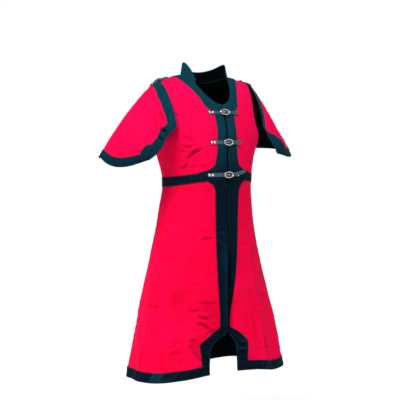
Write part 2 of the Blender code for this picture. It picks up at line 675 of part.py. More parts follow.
def make_buckle(number, z, frame_level):
    """A pointed oval frame with a bar under the strap, and a prong over it.

    Each is modelled flat, its face to -Y, then laid on the cloth at frame_level.
    """
    across, up = BUCKLE_HALF
    turns = np.linspace(0.0, 2 * math.pi, 28, endpoint=False)
    ring = [(across * signed_power(math.cos(turn), 2 / OVAL[0]), 0.0,
             up * signed_power(math.sin(turn), 2 / OVAL[1])) for turn in turns]
    frame = add_object(f"buckle_frame_{number}", [tube(ring, BUCKLE_WIRE, 8, True)], "steel", 60)
    depth = frame_level - BAR_LEVEL
    bend = up - 0.0018
    bar = add_object(f"bar_cutter_{number}", [tube(
        [(0.0, 0.0, -up), (0.0, depth, -bend), (0.0, depth, bend), (0.0, 0.0, up)], BUCKLE_BAR, 8)], "steel")
    prong = add_object(f"prong_{number}", [tube(
        [(0.002, -PRONG_RISE[0], 0.0), (-across - 0.002, -PRONG_RISE[1], 0.0)], PRONG_RADIUS, 6)], "steel")
    union = frame.modifiers.new("bar", "BOOLEAN")
    union.operation = "UNION"
    union.object = bar
    bar.hide_render = True
    bar.display_type = "WIRE"
    spot = front_spot(0.0, z)
    centre, normal = body_point(*spot, FRONT), body_normal(*spot, FRONT)
    lean = Matrix.Rotation(-math.atan2(normal[2], -normal[1]), 4, "X")
    for made in (frame, bar, prong):
        made.matrix_world = Matrix.Translation(Vector(centre + normal * frame_level)) @ lean


def make_straps():
    base = 2 * SEAM + TRIM
    for index, z in enumerate(STRAPS["z"]):
        number = index + 1
        start, tip, tip_length = (STRAPS[name][index] for name in ("start", "tip", "tip_length"))
        xs = strap_stations(start, tip, tip_length)
        lifts = base + blend(np.array([-0.016, 0.004]), np.array([0.0, TAB_LEATHER + SEAM]), xs)
        lifts += STRAP_HUMP * np.exp(-(xs / HUMP_LENGTH) ** 2)
        lifts += STRAPS["tip_rise"][index] * np.clip((xs - 0.03) / (tip - 0.03), 0, 1) ** 2
        turned = np.clip((xs - TURN_FROM) / (tip - TURN_FROM), 0, 1) ** 1.3
        front_strip(f"strap_{number}", z + STRAPS["tip_turn"][index] * turned, xs,
                    strap_halves(xs, start, tip, STRAP_WIDTH, tip_length), lifts, LEATHER)
        tab_xs = np.linspace(TAB_START, TAB_END, 9)
        tab_halves = strap_halves(tab_xs, -1.0, TAB_END, TAB_WIDTH, TAB_WIDTH / 2)
        front_strip(f"buckle_tab_{number}", np.full(9, z), tab_xs, tab_halves, np.full(9, base),
                    TAB_LEATHER)
        strap_top = base + TAB_LEATHER + SEAM + LEATHER
        make_buckle(number, z, strap_top + SEAM + BUCKLE_WIRE)
        for letter, place in zip("ab", (RIVET_INSET, RIVET_INSET + RIVET_PITCH)):
            spot = front_spot(start + place, z)
            normal = body_normal(*spot, FRONT)
            point = body_point(*spot, FRONT) + normal * (base + LEATHER + SEAM)
            dome(f"rivet_{number}{letter}", point, normal, RIVET_RADIUS, RIVET_HEIGHT, "steel")
    x, drop, radius, height = TAB_RIVET
    spot = front_spot(x, STRAPS["z"][-1] + drop)
    normal = body_normal(*spot, FRONT)
    point = body_point(*spot, FRONT) + normal * (base + TAB_LEATHER + SEAM)
    dome("tab_rivet", point, normal, radius, height, "steel")


def ridge_across(x, sign, offsets):
    """Points and normals across the shoulder's ridge, at distances from it (front minus)."""
    angle = angle_at(x, 2.0, FRONT)
    rises = np.linspace(2.0, 1.5, 61)
    points, normals = [], []
    for offset in offsets:
        facing = FRONT if offset < 0 else BACK
        line = body_point(np.full(61, sign * angle), rises, facing)
        rise = 2.0 - 0.5 * float(spread(line, abs(offset)))
        points.append(body_point(sign * angle, rise, facing))
        normals.append(body_normal(sign * angle, rise, facing))
    return np.array(points), np.array(normals)


def sleeve_across(side, distance, offsets):
    """The same across a sleeve's top line, at a distance from its armhole edge."""
    fine = np.linspace(0.0, 1.0, 121)
    along = float(spread(sleeve_point(side, fine, np.zeros(121)), distance))
    points, normals = [], []
    for offset in offsets:
        sweep = np.linspace(0.0, math.copysign(0.6, offset), 121)
        line = sleeve_point(side, np.full(121, along), sweep)
        across = sweep[-1] * float(spread(line, abs(offset)))
        points.append(sleeve_point(side, along, across))
        normals.append(sleeve_normal(side, along, across))
    return np.array(points), np.array(normals)


def make_shoulder_tabs():
    """A leather tab over each shoulder's end, with a stud at each end, that carries the sleeve."""
    offsets = np.linspace(-SHOULDER_TAB_HALF, SHOULDER_TAB_HALF, 5)
    for side, sign in SIDES.items():
        sections = [(*ridge_across(x, sign, offsets), lift) for x, lift in TAB_ON_BODY]
        sections += [(*sleeve_across(side, distance, offsets), lift)
                     for distance, lift in TAB_ON_SLEEVE]
        inner = np.array([points + normals * lift for points, normals, lift in sections])
        outer = np.array([points + normals * (lift + LEATHER) for points, normals, lift in sections])
        add_object(f"shoulder_tab_{side}", [wall(outer, inner)], "leather")
        for letter, index in (("a", 1), ("b", -2)):
            points, normals, lift = sections[index]
            spot = points[2] + normals[2] * (lift + LEATHER + SEAM)
            dome(f"shoulder_stud_{side}_{letter}", spot, normals[2], STUD_RADIUS, STUD_HEIGHT, "brass")


def clear_scene():
    for item in list(bpy.data.objects):
        bpy.data.objects.remove(item, do_unlink=True)


clear_scene()
make_bodice()
make_skirt()
make_sleeves()
make_collar()
make_straps()
make_shoulder_tabs()
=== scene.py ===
"""The looks of a padded, knee-length gambeson with trim bands and three buckled straps.

Every cloth piece is a thin closed shell on the same smooth body form that the plain model
is cut from: two parameters run over a panel, a table of seams turns them into a place on
the form, and soft creases move that place in or out along the surface. Lengths are in
metres and angles in degrees, unless a table says millimetres.
"""
import math

import bmesh
import bpy
import numpy as np
from bpy.props import FloatProperty, FloatVectorProperty, PointerProperty
from mathutils import Matrix, Vector


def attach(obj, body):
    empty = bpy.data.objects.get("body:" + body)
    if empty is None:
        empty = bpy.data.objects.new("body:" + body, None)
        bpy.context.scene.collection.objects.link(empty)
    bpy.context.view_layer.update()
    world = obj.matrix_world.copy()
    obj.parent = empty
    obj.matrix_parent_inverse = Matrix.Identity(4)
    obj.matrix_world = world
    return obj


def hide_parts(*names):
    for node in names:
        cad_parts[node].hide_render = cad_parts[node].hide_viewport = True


bl_info = {
    "name": "Gambeson",
    "version": (1, 0, 0),
    "blender": (4, 5, 0),
    "location": "View3D > Sidebar > Gambeson",
    "description": "Builds the cloth, trims, straps and buckles of a padded coat",
    "category": "Object",
}

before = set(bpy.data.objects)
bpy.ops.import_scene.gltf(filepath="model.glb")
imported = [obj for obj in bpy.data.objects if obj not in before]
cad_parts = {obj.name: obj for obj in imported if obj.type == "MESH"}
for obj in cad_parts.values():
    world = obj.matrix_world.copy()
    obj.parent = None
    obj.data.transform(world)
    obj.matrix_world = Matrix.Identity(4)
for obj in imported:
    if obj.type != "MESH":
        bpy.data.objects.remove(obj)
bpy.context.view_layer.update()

MM = 0.001
FRONT, BACK = 1, -1
SIDES = {"right": -1, "left": 1}

# Cloth and seams
WALL = 0.004
TRIM = 0.0015
SEAM = 0.0003
FRONT_SLIT = 0.002
COLLAR_WALL = 0.0035
COLLAR_HEIGHT = 0.042       # about its greatest, for the spacing of its rows
COLLAR_WAVE = (0.0008, 70.0)    # height, and radians along a metre, of its top edge's waves
LEATHER = 0.0022
TAB_LEATHER = 0.0018
LEATHER_CROWN = 0.00035     # how far a strap's middle stands over its edges
CLOTH_STEP = 0.004                                      # between grid lines
EDGE_STEPS = np.array([0.0, 0.5, 1.2, 2.2, 3.4]) * MM   # grid lines near an edge
LINE_SAMPLES = 161                                      # along a row while it is measured

# The body form
ARMPIT_Z = -0.215
FRONT_CHEST = (1.4, 1.6)
BACK_CHEST = (2.0, 2.0)
FLUTE_TOP = -0.52


def table(columns, rows):
    """Named columns from rows of numbers."""
    return dict(zip(columns.split(), np.array(rows, float).T))


RINGS = table("z half_width front back squareness", [
    (-1.200, 0.330, 0.133, 0.166, 2.30),
    (-1.062, 0.310, 0.133, 0.164, 2.30),
    (-0.830, 0.259, 0.134, 0.171, 2.20),
    (-0.665, 0.216, 0.136, 0.174, 2.04),
    (-0.480, 0.177, 0.137, 0.146, 2.10),
    (-0.372, 0.162, 0.140, 0.106, 2.45),
    (-0.285, 0.185, 0.142, 0.120, 2.20),
    (-0.215, 0.206, 0.142, 0.128, 2.30),
])
RIDGE = table("x z", [(0.0, 0.006), (0.09, 0.0), (0.134, -0.008), (0.188, -0.022), (0.21, -0.033)])
WAIST = table("angle z", [(0, -0.372), (90, -0.392), (180, -0.398)])
HEM = table("angle z", [
    (-180, -1.072), (-140, -1.066), (-90, -1.055), (-35, -1.055), (0, -1.045), (20, -1.056),
    (45, -1.077), (85, -1.066), (140, -1.068), (180, -1.072),
])
FLUTES = table("angle width depth", [
    (-168, 15, 0.010), (-140, 13, -0.009), (-118, 12, 0.011), (-96, 11, -0.006),
    (-58, 16, 0.004), (-36, 12, -0.004), (30, 11, 0.006), (47, 10, -0.007), (64, 10, 0.008),
    (82, 10, -0.006), (104, 12, 0.010), (128, 13, -0.009), (150, 12, 0.009),
])

# Edges of the bodice, by how far up they are: 0 waist seam, 1 armpit, 2 shoulder ridge
NECK_FRONT = table("rise x", [
    (1.372, 0.0), (1.384, 0.015), (1.445, 0.040), (1.541, 0.058), (1.653, 0.072),
    (1.762, 0.083), (2.0, 0.096),
])
NECK_BACK = table("rise x", [(1.688, 0.0), (1.700, 0.030), (1.750, 0.060), (1.850, 0.084), (2.0, 0.096)])
ARMHOLE = table("rise right left back", [
    (1.00, 0.207, 0.207, 0.207), (1.05, 0.196, 0.185, 0.197), (1.10, 0.186, 0.166, 0.189),
    (1.20, 0.178, 0.153, 0.183), (1.33, 0.181, 0.157, 0.181), (1.47, 0.182, 0.171, 0.182),
    (1.65, 0.183, 0.182, 0.184), (2.00, 0.188, 0.188, 0.188),
])
WAIST_TRIM = 0.077
BACK_TRIM = 0.070
BODICE_FRONT = table("start end trim", [
    (0.000, 0.000, WAIST_TRIM), (0.190, 0.190, 0.110), (0.250, 0.250, 0.072), (0.340, 0.340, 0.052),
    (0.500, 0.500, 0.045), (0.680, 0.670, 0.042), (0.860, 0.840, 0.041), (1.030, 1.000, 0.040),
    (1.150, 1.070, 0.040), (1.240, 1.160, 0.041), (1.300, 1.250, 0.045), (1.340, 1.330, 0.062),
    (1.372, 1.400, 0.072), (1.384, 1.470, 0.060), (1.445, 1.550, 0.042), (1.541, 1.640, 0.036),
    (1.653, 1.740, 0.037), (1.762, 1.860, 0.038), (2.000, 2.000, 0.039),
])
BODICE_BACK = table("start end trim", [
    (0.000, 0.000, BACK_TRIM), (0.190, 0.190, 0.068), (0.450, 0.450, 0.060), (0.720, 0.700, 0.060),
    (1.000, 0.940, 0.060), (1.150, 1.060, 0.058), (1.300, 1.200, 0.056), (1.430, 1.330, 0.054),
    (1.536, 1.450, 0.056), (1.620, 1.550, 0.088), (1.688, 1.640, 0.104), (1.700, 1.700, 0.081),
    (1.750, 1.780, 0.058), (1.850, 1.880, 0.044), (2.000, 2.000, 0.039),
])
WAISTBAND_ROW = 1
NECK_TRIM_FRONT_ROW = 10
NECK_TRIM_BACK_ROW = 8
NECK_BACK_ROW = 10          # where the back's two halves part round the neck

# The skirt's front edges and their trims, by the way down from the waist seam to the hem
SKIRT = table("down edge_right edge_left trim_right trim_left", [
    (0.000, 0.000, 0.000, WAIST_TRIM, WAIST_TRIM), (0.030, 0.000, 0.000, 0.055, 0.058),
    (0.060, 0.000, 0.000, 0.049, 0.051), (0.180, 0.000, 0.000, 0.048, 0.047),
    (0.330, 0.000, 0.000, 0.047, 0.043), (0.480, 0.000, 0.000, 0.044, 0.034),
    (0.620, 0.000, 0.000, 0.038, 0.022), (0.710, 0.000, 0.000, 0.034, 0.012),
    (0.757, 0.000, 0.000, 0.034, 0.010), (0.795, 0.004, 0.002, 0.070, 0.047),
    (0.813, 0.026, 0.010, 0.070, 0.057), (0.833, 0.050, 0.020, 0.063, 0.062),
    (0.856, 0.066, 0.029, 0.047, 0.059), (0.890, 0.074, 0.034, 0.037, 0.054),
    (0.947, 0.077, 0.037, 0.031, 0.051), (1.000, 0.077, 0.037, 0.031, 0.051),
])
HEM_TRIM_ROW = 14

# Sleeves, by sections from the armhole (0) to the cuff (1)
SLEEVE = "along top_x top_z front_x front_y front_z back_x back_y back_z droop square"
SLEEVES = {
    "right": table(SLEEVE, [
        (0.00, 0.1902, -0.0225, 0.183, -0.108, -0.189, 0.186, 0.098, -0.172, 0.000, 1.50),
        (0.25, 0.2430, -0.0660, 0.224, -0.114, -0.226, 0.224, 0.104, -0.208, 0.004, 1.80),
        (0.55, 0.3200, -0.1570, 0.248, -0.112, -0.266, 0.262, 0.100, -0.246, 0.010, 2.00),
        (0.80, 0.3760, -0.2320, 0.264, -0.098, -0.286, 0.290, 0.088, -0.262, 0.020, 2.20),
        (1.00, 0.4170, -0.2890, 0.276, -0.084, -0.298, 0.318, 0.070, -0.268, 0.030, 2.20),
    ]),
    "left": table(SLEEVE, [
        (0.00, 0.1902, -0.0225, 0.193, -0.090, -0.180, 0.186, 0.098, -0.172, 0.000, 1.60),
        (0.25, 0.2290, -0.0700, 0.204, -0.102, -0.214, 0.220, 0.100, -0.208, 0.004, 1.80),
        (0.55, 0.2850, -0.1500, 0.224, -0.106, -0.248, 0.254, 0.094, -0.244, 0.010, 2.00),
        (0.80, 0.3330, -0.2130, 0.240, -0.102, -0.267, 0.276, 0.084, -0.254, 0.018, 2.20),
        (1.00, 0.3690, -0.2620, 0.254, -0.090, -0.280, 0.296, 0.070, -0.256, 0.026, 2.20),
    ]),
}
# Widths of the sleeves' trims: under the arm by the way along, at the armhole by the way over
UNDERARM_FRONT = {
    "right": table("along width", [(0.0, 0.036), (0.385, 0.043), (0.47, 0.037), (0.60, 0.037),
                                   (0.68, 0.050), (0.76, 0.052), (0.86, 0.050), (1.0, 0.044)]),
    "left": table("along width", [(0.0, 0.012), (0.20, 0.013), (0.31, 0.017), (0.42, 0.028),
                                  (0.60, 0.042), (0.68, 0.052), (0.78, 0.060), (1.0, 0.062)]),
}
UNDERARM_BACK = table("along width", [(0.0, 0.036), (1.0, 0.036)])
ARMHOLE_WIDTH = {
    "right": table("across width", [(-1.0, 0.040), (-0.79, 0.042), (-0.45, 0.044), (-0.2, 0.035),
                                    (0.1, 0.031), (1.0, 0.034)]),
    "left": table("across width", [(-1.0, 0.022), (-0.8, 0.021), (-0.5, 0.020), (-0.2, 0.024),
                                   (0.2, 0.033), (1.0, 0.036)]),
}
CUFF_WIDTH = 0.033
SLEEVE_EDGE = 0.995         # how far over the sleeve its edges lie, of 1

COLLAR = table("angle height lean", [
    (38, 0.003, 0.10), (50, 0.014, 0.15), (65, 0.031, 0.20), (82, 0.043, 0.22),
    (120, 0.041, 0.12), (180, 0.038, 0.10),
])

# Straps, buckles, rivets and tabs
STRAPS = table("z start tip tip_length tip_rise tip_turn", [
    (-0.139, -0.064, 0.058, 0.007, 0.000, 0.000),
    (-0.241, -0.069, 0.057, 0.007, 0.000, 0.000),
    (-0.353, -0.077, 0.068, 0.014, 0.010, 0.011),
])
TURN_FROM = 0.020
STRAP_WIDTH = 0.014
ROUND_START = 0.0042
STRAP_HUMP = 0.0030
HUMP_LENGTH = 0.0048
TAB_START, TAB_END = 0.0045, 0.050
TAB_WIDTH = 0.012
BUCKLE_HALF = (0.0170, 0.0098)
OVAL = (1.7, 2.4)
BUCKLE_WIRE = 0.0019
BUCKLE_BAR = 0.0011
BAR_LEVEL = 0.0052
PRONG_RADIUS = 0.0007
PRONG_RISE = (0.0018, 0.0030)
RIVET_RADIUS = 0.0046
RIVET_HEIGHT = 0.0018
RIVET_INSET = 0.0066
RIVET_PITCH = 0.0110
TAB_RIVET = (0.0445, -0.0025, 0.0030, 0.0012)
TAB_ON_BODY = [(0.152, SEAM), (0.161, SEAM), (0.170, 0.0005), (0.179, 0.0016), (0.186, 0.0037)]
TAB_ON_SLEEVE = [(0.002, 0.0040), (0.010, 0.0033), (0.018, 0.0028), (0.026, 0.0024), (0.034, 0.0023)]
SHOULDER_TAB_HALF = 0.011
STUD_RADIUS = 0.0045
STUD_HEIGHT = 0.0024

# Creases of the front in millimetres: a curve from its start over its middle to its end,
# each by the way round from the front's middle (minus: the coat's right) and the height,
# then its half width and depth; a depth under nought is a ridge
FRONT_CREASES = [
    # bodice, over the coat's right ribs
    (-152, -306, -130, -280, -92, -262, 8, 5.0),
    (-168, -255, -142, -257, -118, -253, 6, 2.8),
    (-178, -270, -165, -272, -152, -270, 6, 2.6),
    (-168, -334, -155, -322, -138, -309, 7, 4.2),
    (-178, -210, -146, -226, -118, -239, 9, 1.4),
    (-104, -319, -91, -324, -80, -329, 6, 2.2),
    (-184, -144, -173, -148, -162, -150, 6, 2.0),
    (-146, -330, -128, -324, -112, -316, 7, 2.0),
    # bodice, the coat's left
    (96, -300, 118, -312, 142, -316, 8, 1.6),
    (120, -232, 138, -246, 150, -262, 8, 1.4),
    # skirt, the coat's right
    (-110, -576, -80, -572, -52, -572, 5, 3.2),
    (-104, -416, -78, -410, -52, -408, 6, 1.4),
    (-168, -404, -148, -408, -128, -406, 6, 1.4),
    (-78, -689, -60, -700, -44, -711, 7, 1.8),
    (-318, -803, -285, -804, -252, -797, 6, 3.6),
    (-308, -867, -288, -872, -268, -871, 6, 2.2),
    (-162, -811, -136, -817, -112, -818, 6, 3.8),
    (-122, -789, -80, -795, -40, -795, 6, 2.8),
    (-124, -836, -99, -844, -76, -848, 6, 3.8),
    (-134, -858, -106, -866, -80, -868, 6, 3.8),
    (-104, -873, -80, -880, -58, -902, 6, 3.2),
    (-162, -918, -141, -920, -122, -918, 6, 2.2),
    (-162, -936, -150, -939, -138, -936, 7, 2.6),
    (-272, -929, -260, -932, -248, -929, 7, 2.2),
    (-212, -944, -203, -928, -193, -913, 6, 2.2),
    (-226, -972, -208, -957, -190, -968, 6, 3.2),
    (-160, -960, -132, -988, -104, -1014, 8, -3.6),
    (-202, -985, -190, -989, -180, -985, 7, 2.2),
    (-354, -929, -340, -932, -326, -930, 6, 1.6),
    # skirt, the coat's left
    (22, -799, 32, -803, 44, -804, 5, 2.2),
    (80, -767, 98, -780, 114, -793, 7, 2.6),
    (126, -765, 143, -828, 158, -890, 11, -3.0),
    (152, -762, 161, -768, 170, -764, 7, 2.4),
    (170, -788, 180, -793, 190, -789, 7, 2.4),
    (160, -978, 170, -984, 178, -979, 7, 2.4),
    (190, -982, 200, -988, 210, -983, 7, 2.2),
    (230, -876, 240, -884, 250, -878, 7, 1.8),
    # the arch's trims and the hem
    (44, -943, 62, -955, 90, -949, 6, 3.0),
    (40, -990, 58, -978, 86, -992, 7, 3.2),
    (60, -912, 72, -922, 92, -920, 6, 2.2),
    (-104, -965, -90, -985, -84, -1010, 7, 2.8),
    (-98, -930, -84, -944, -80, -962, 6, 2.2),
    (-342, -1052, -322, -1040, -306, -1022, 8, 2.4),
    (-262, -1050, -244, -1038, -232, -1024, 8, 1.8),
    (-170, -1050, -158, -1040, -140, -1026, 8, 2.0),
    (120, -1066, 134, -1050, 142, -1034, 8, 2.0),
    (216, -1064, 226, -1050, 240, -1036, 8, 1.8),
    (-304, -1050, -292, -1036, -284, -1018, 6, -2.0),
    (-214, -1054, -204, -1040, -190, -1030, 6, 2.6),
    (-132, -1048, -118, -1034, -104, -1028, 6, 2.8),
    (-96, -1000, -86, -1020, -92, -1044, 6, 2.6),
    (44, -964, 60, -970, 84, -966, 5, -1.8),
    (48, -1016, 66, -1006, 92, -1014, 6, 2.4),
    (164, -1064, 176, -1050, 190, -1040, 7, -2.0),
    # long folds of the coat's left skirt
    (104, -620, 114, -700, 128, -770, 9, -2.4),
    (150, -880, 164, -960, 180, -1030, 10, -3.0),
    (96, -830, 110, -900, 128, -960, 9, -2.2),
]
BACK_CREASES = [
    (-140, -330, -112, -318, -70, -322, 8, 3.2),
    (-150, -300, -128, -290, -96, -292, 8, 2.4),
    (60, -326, 98, -314, 142, -332, 8, 3.0),
    (88, -288, 122, -284, 150, -298, 8, 2.2),
    (-60, -352, -20, -346, 30, -351, 7, 1.6),
    (-150, -470, -110, -462, -66, -470, 8, 1.8),
    (40, -455, 92, -462, 140, -450, 8, 2.0),
    (-250, -820, -210, -812, -168, -818, 8, 3.0),
    (-120, -860, -80, -868, -38, -860, 8, 2.6),
    (30, -790, 76, -798, 118, -788, 8, 2.8),
    (150, -880, 186, -872, 222, -882, 8, 2.8),
    (-30, -930, 6, -938, 44, -930, 8, 2.4),
    (-300, -1050, -284, -1036, -270, -1020, 9, 2.2),
    (-60, -1056, -44, -1040, -36, -1022, 9, 2.2),
    (150, -1054, 166, -1040, 176, -1022, 9, 2.2),
]
# Creases of the sleeves in millimetres, by the way from the armhole and the way over from
# the top (minus: to the front)
SLEEVE_CREASES = {
    "right": [
        (86, -92, 82, -112, 74, -132, 7, 3.4),
        (118, -84, 120, -98, 124, -126, 7, 3.2),
        (126, -128, 98, -142, 74, -158, 8, 4.0),
        (150, -136, 138, -150, 126, -162, 7, 3.6),
        (198, -144, 195, -152, 190, -162, 7, 2.6),
        (262, -106, 264, -114, 262, -122, 7, 2.6),
        (40, -60, 60, -66, 84, -62, 8, 1.4),
        (150, -40, 190, -48, 226, -44, 10, 1.2),
        (60, 92, 92, 104, 128, 100, 8, 2.2),
        (150, 120, 182, 128, 214, 122, 8, 2.2),
    ],
    "left": [
        (70, -96, 84, -110, 92, -128, 7, 2.6),
        (120, -100, 132, -116, 136, -138, 7, 2.8),
        (176, -112, 184, -126, 182, -142, 7, 2.6),
        (60, 92, 92, 104, 128, 100, 8, 2.2),
        (140, 118, 168, 126, 196, 120, 8, 2.0),
    ],
}
SLEEVE_SPAN = {"right": (0.335, 0.170), "left": (0.300, 0.165)}    # along, and over from the top
CREASE_LIP = 0.45           # the raised lip over a crease, as a share of its depth
CREASE_FINE = 0.8           # of a crease's listed half width
CREASE_LIP_AWAY = 1.9        # the lip's middle and width, in a crease's half widths
CREASE_LIP_WIDTH = 1.1
CREASE_REACH = 4             # half widths past which a crease moves nothing
CREASE_FADE = 2.5            # how late a crease fades towards its ends
CREASE_POINTS = 13           # along a crease's curve

# Slow waves of the cloth: how often round the coat, radians down a metre, start, share of the height
SLOW_WAVES = [(3, 9, 1.0, 1.0), (7, -14, 0.0, 0.7), (13, 31, 2.0, 0.5), (5, -60, 0.5, 0.35)]
SLOW_HEIGHT = 0.0003         # at the chest
SLOW_FALL = (0.40, 1.0)      # how far down they grow from the chest's height to the hem's
# Small wrinkles: pitch over 2 pi (mm), how far, how often round and from where they bend, how often
# round and over what length (mm) they come and go, share of the height
WRINKLE_WAVES = [(4.6, 1.7, 13, 0.0, 11, 61, 1.0), (2.7, -2.2, 21, 1.0, 8, -41, 0.4)]
# Nothing is wrinkled under the straps (distance from the middle, levels) or on the shoulders
STILL_WIDTH = (0.080, 0.100)
STILL_WAIST = (-0.43, -0.40)
STILL_SHOULDER = (-0.03, -0.09)
SLEEVE_SWELL = 0.0007
SLEEVE_SWELL_START = (0.05, 0.3)
SLEEVE_LOOSE_START = (0.04, 0.15)    # where the sleeve's wrinkles start and end, of its length
SLEEVE_LOOSE_END = (1.0, 0.92)
SLEEVE_TURN = 1.2            # radians round the sleeve for each unit across it

# Front edges: how far they roll in and over what length, and the levels of the roll's two ends
SLIT_ROLL = (0.0050, 0.0085)
ROLL_TOP = (-0.11, -0.13)
ROLL_FOOT = (-1.0, -0.97)
# The skirt's left edge lies back and its right one stands out, between a low and a high level
SLIT_LOW = (-0.93, -0.86)
SLIT_HIGH = (-0.55, -0.70)
SLIT_BACK = 0.009
SLIT_BACK_REACH = (0.004, 0.034)
SLIT_OUT = 0.0025
SLIT_OUT_REACH = 0.030

# Camera, from the photograph's perspective
CAMERA_PLACE = (-1.6436, -2.5217, -0.3063)
CAMERA_RIGHT = (0.8411, -0.5407, -0.0139)
CAMERA_UP = (0.0366, 0.0312, 0.9988)
CAMERA_LENS = 75.15
SENSOR = 36.0
FLOOR_Z = -1.50

# Light: the even glow from all round, and a wide soft key from the camera's upper left
SKY = 0.40
KEY_POWER = 3.0
KEY_SPREAD = 24.0
KEY_FROM = (-0.66, -0.50, 0.95)
FLOOR_GLOW = 0.72           # the floor's own light, which keeps it pale
FLOOR_SPAN = 30.0


def length_property(name, description, default, low, high):
    return FloatProperty(name=name, description=description, default=default, min=low, max=high,
                         precision=4, subtype="DISTANCE", unit="LENGTH")


class GambesonSizes(bpy.types.PropertyGroup):
    """Sizes of the finish that a maker would change."""
    weave: length_property("Weave", "Pitch of the cloth's threads", 0.0011, 0.0004, 0.004)
    stitch: length_property("Stitch", "Length from stitch to stitch", 0.0042, 0.002, 0.01)
    thread: length_property("Thread", "Radius of the sewing thread", 0.0004, 0.0002, 0.001)
    crease: FloatProperty(name="Creases", description="Strength of the cloth's creases",
                          default=1.45, min=0.0, max=2.0, subtype="FACTOR")
    wrinkle: length_property("Wrinkles", "Height of the cloth's small wrinkles", 0.0008, 0.0, 0.002)
    swell: length_property("Swell", "Height of the skirt's slow waves at the hem", 0.0022, 0.0, 0.004)


def colour_property(name, description, default):
    return FloatVectorProperty(name=name, description=description, default=default, size=3,
                               min=0.0, max=1.0, subtype="COLOR")


class GambesonColours(bpy.types.PropertyGroup):
    """Colours of the cloth, leather and metal, scene linear."""
    red: colour_property("Red", "Padded cloth of the panels", (0.90, 0.0003, 0.050))
    # Painted highlight: the cloth is mixed towards this pinker red higher up and on the shoulders; faint
    # random pale patches use it too.
    red_pale_and_highlight: colour_property("High red", "The same cloth where light has bleached it",
                              (0.92, 0.0020, 0.100))
    # Random darker tone of the red cloth, and painted shade: the creases are mixed towards a darker share of
    # it.
    red_deep_and_shade: colour_property("Deep red", "The same cloth where it is rubbed dark", (0.80, 0.0002, 0.034))
    # Painted light: the trim cloth runs from this dark teal on the skirt to the next, lighter teal on the
    # chest and shoulders, a painted highlight from above.
    teal: colour_property("Teal", "Trim cloth of the skirt", (0.0008, 0.0080, 0.018))
    # Lighter teal: the painted highlight of the chest, shoulders and fold ridges, and of faint random pale
    # patches.
    teal_pale_and_highlight: colour_property("High teal", "Trim cloth of the chest, bleached by wear",
                               (0.0032, 0.050, 0.078))
    # Painted shade: a dark navy lining, made near black so that the inside of the coat and the collar reads
    # as shade.
    lining: colour_property("Lining", "Inside of the coat", (0.0008, 0.0012, 0.0025))
    leather: colour_property("Leather", "Straps and tabs", (0.020, 0.066, 0.080))
    thread: colour_property("Thread", "Sewing thread", (0.006, 0.030, 0.046))
    steel: colour_property("Steel", "Buckles and rivets", (0.78, 0.72, 0.68))
    brass: colour_property("Brass", "Shoulder studs", (0.70, 0.50, 0.20))
    floor: colour_property("Floor", "Studio floor", (0.30, 0.30, 0.30))


def sizes():
    return bpy.context.scene.gambeson_sizes


def colours():
    return bpy.context.scene.gambeson_colours


# The body form and the cuts on it

def cubic(knots, values, slopes, where):
    """The cubic curve with those values and slopes at the knots."""
    index = np.clip(np.searchsorted(knots, where) - 1, 0, len(knots) - 2)
    span = knots[index + 1] - knots[index]
    part = np.clip((where - knots[index]) / span, 0.0, 1.0)
    square, cube = part ** 2, part ** 3
    start = (2 * cube - 3 * square + 1) * values[index] + (cube - 2 * square + part) * span * slopes[index]
    end = (3 * square - 2 * cube) * values[index + 1] + (cube - square) * span * slopes[index + 1]
    return start + end


def blend(knots, values, where):
    """A smooth curve through the knots, level past both ends."""
    slopes = np.gradient(values, knots)
    slopes[0] = slopes[-1] = 0.0
    return cubic(knots, values, slopes, np.asarray(where, float))


def through(knots, values, where):
    """A smooth curve through the knots that never swings past them.

    A knot's slope is the harmonic mean of the slopes beside it, and level at a peak.
    """
    span = np.diff(knots)
    steep = np.diff(values) / span
    slopes = np.zeros(len(knots))
    slopes[0], slopes[-1] = steep[0], steep[-1]
    before, after = steep[:-1], steep[1:]
    alike = before * after > 0
    near, far = 2 * span[1:] + span[:-1], span[1:] + 2 * span[:-1]
    inverse = near / np.where(alike, before, 1.0) + far / np.where(alike, after, 1.0)
    slopes[1:-1] = np.where(alike, (near + far) / np.where(alike, inverse, 1.0), 0.0)
    return cubic(knots, values, slopes, np.asarray(where, float))


def step(low, high, value):
    """0 below low, 1 above high, smooth between."""
    part = np.clip((value - low) / (high - low), 0.0, 1.0)
    return part * part * (3 - 2 * part)


def signed_power(value, power):
    return np.sign(value) * np.abs(value) ** power


def way_round(angle, facing):
    """Angle from the middle of the front, for an angle from the middle of front or back."""
    return angle if facing == FRONT else np.where(angle < 0, -180.0, 180.0) - angle


def flute_depth(around, z):
    """How far the skirt's folds stand out: bell curves round it that grow down to the hem."""
    fall = np.clip((FLUTE_TOP - z) / (FLUTE_TOP - HEM["z"].min()), 0.0, None) ** 1.3
    depth = np.zeros(np.broadcast(around, z).shape)
    for centre, width, height in zip(FLUTES["angle"], FLUTES["width"], FLUTES["depth"]):
        away = (around - centre + 180.0) % 360.0 - 180.0
        depth = depth + height * np.exp(-(away / width) ** 2 * 1.6)
    return depth * fall


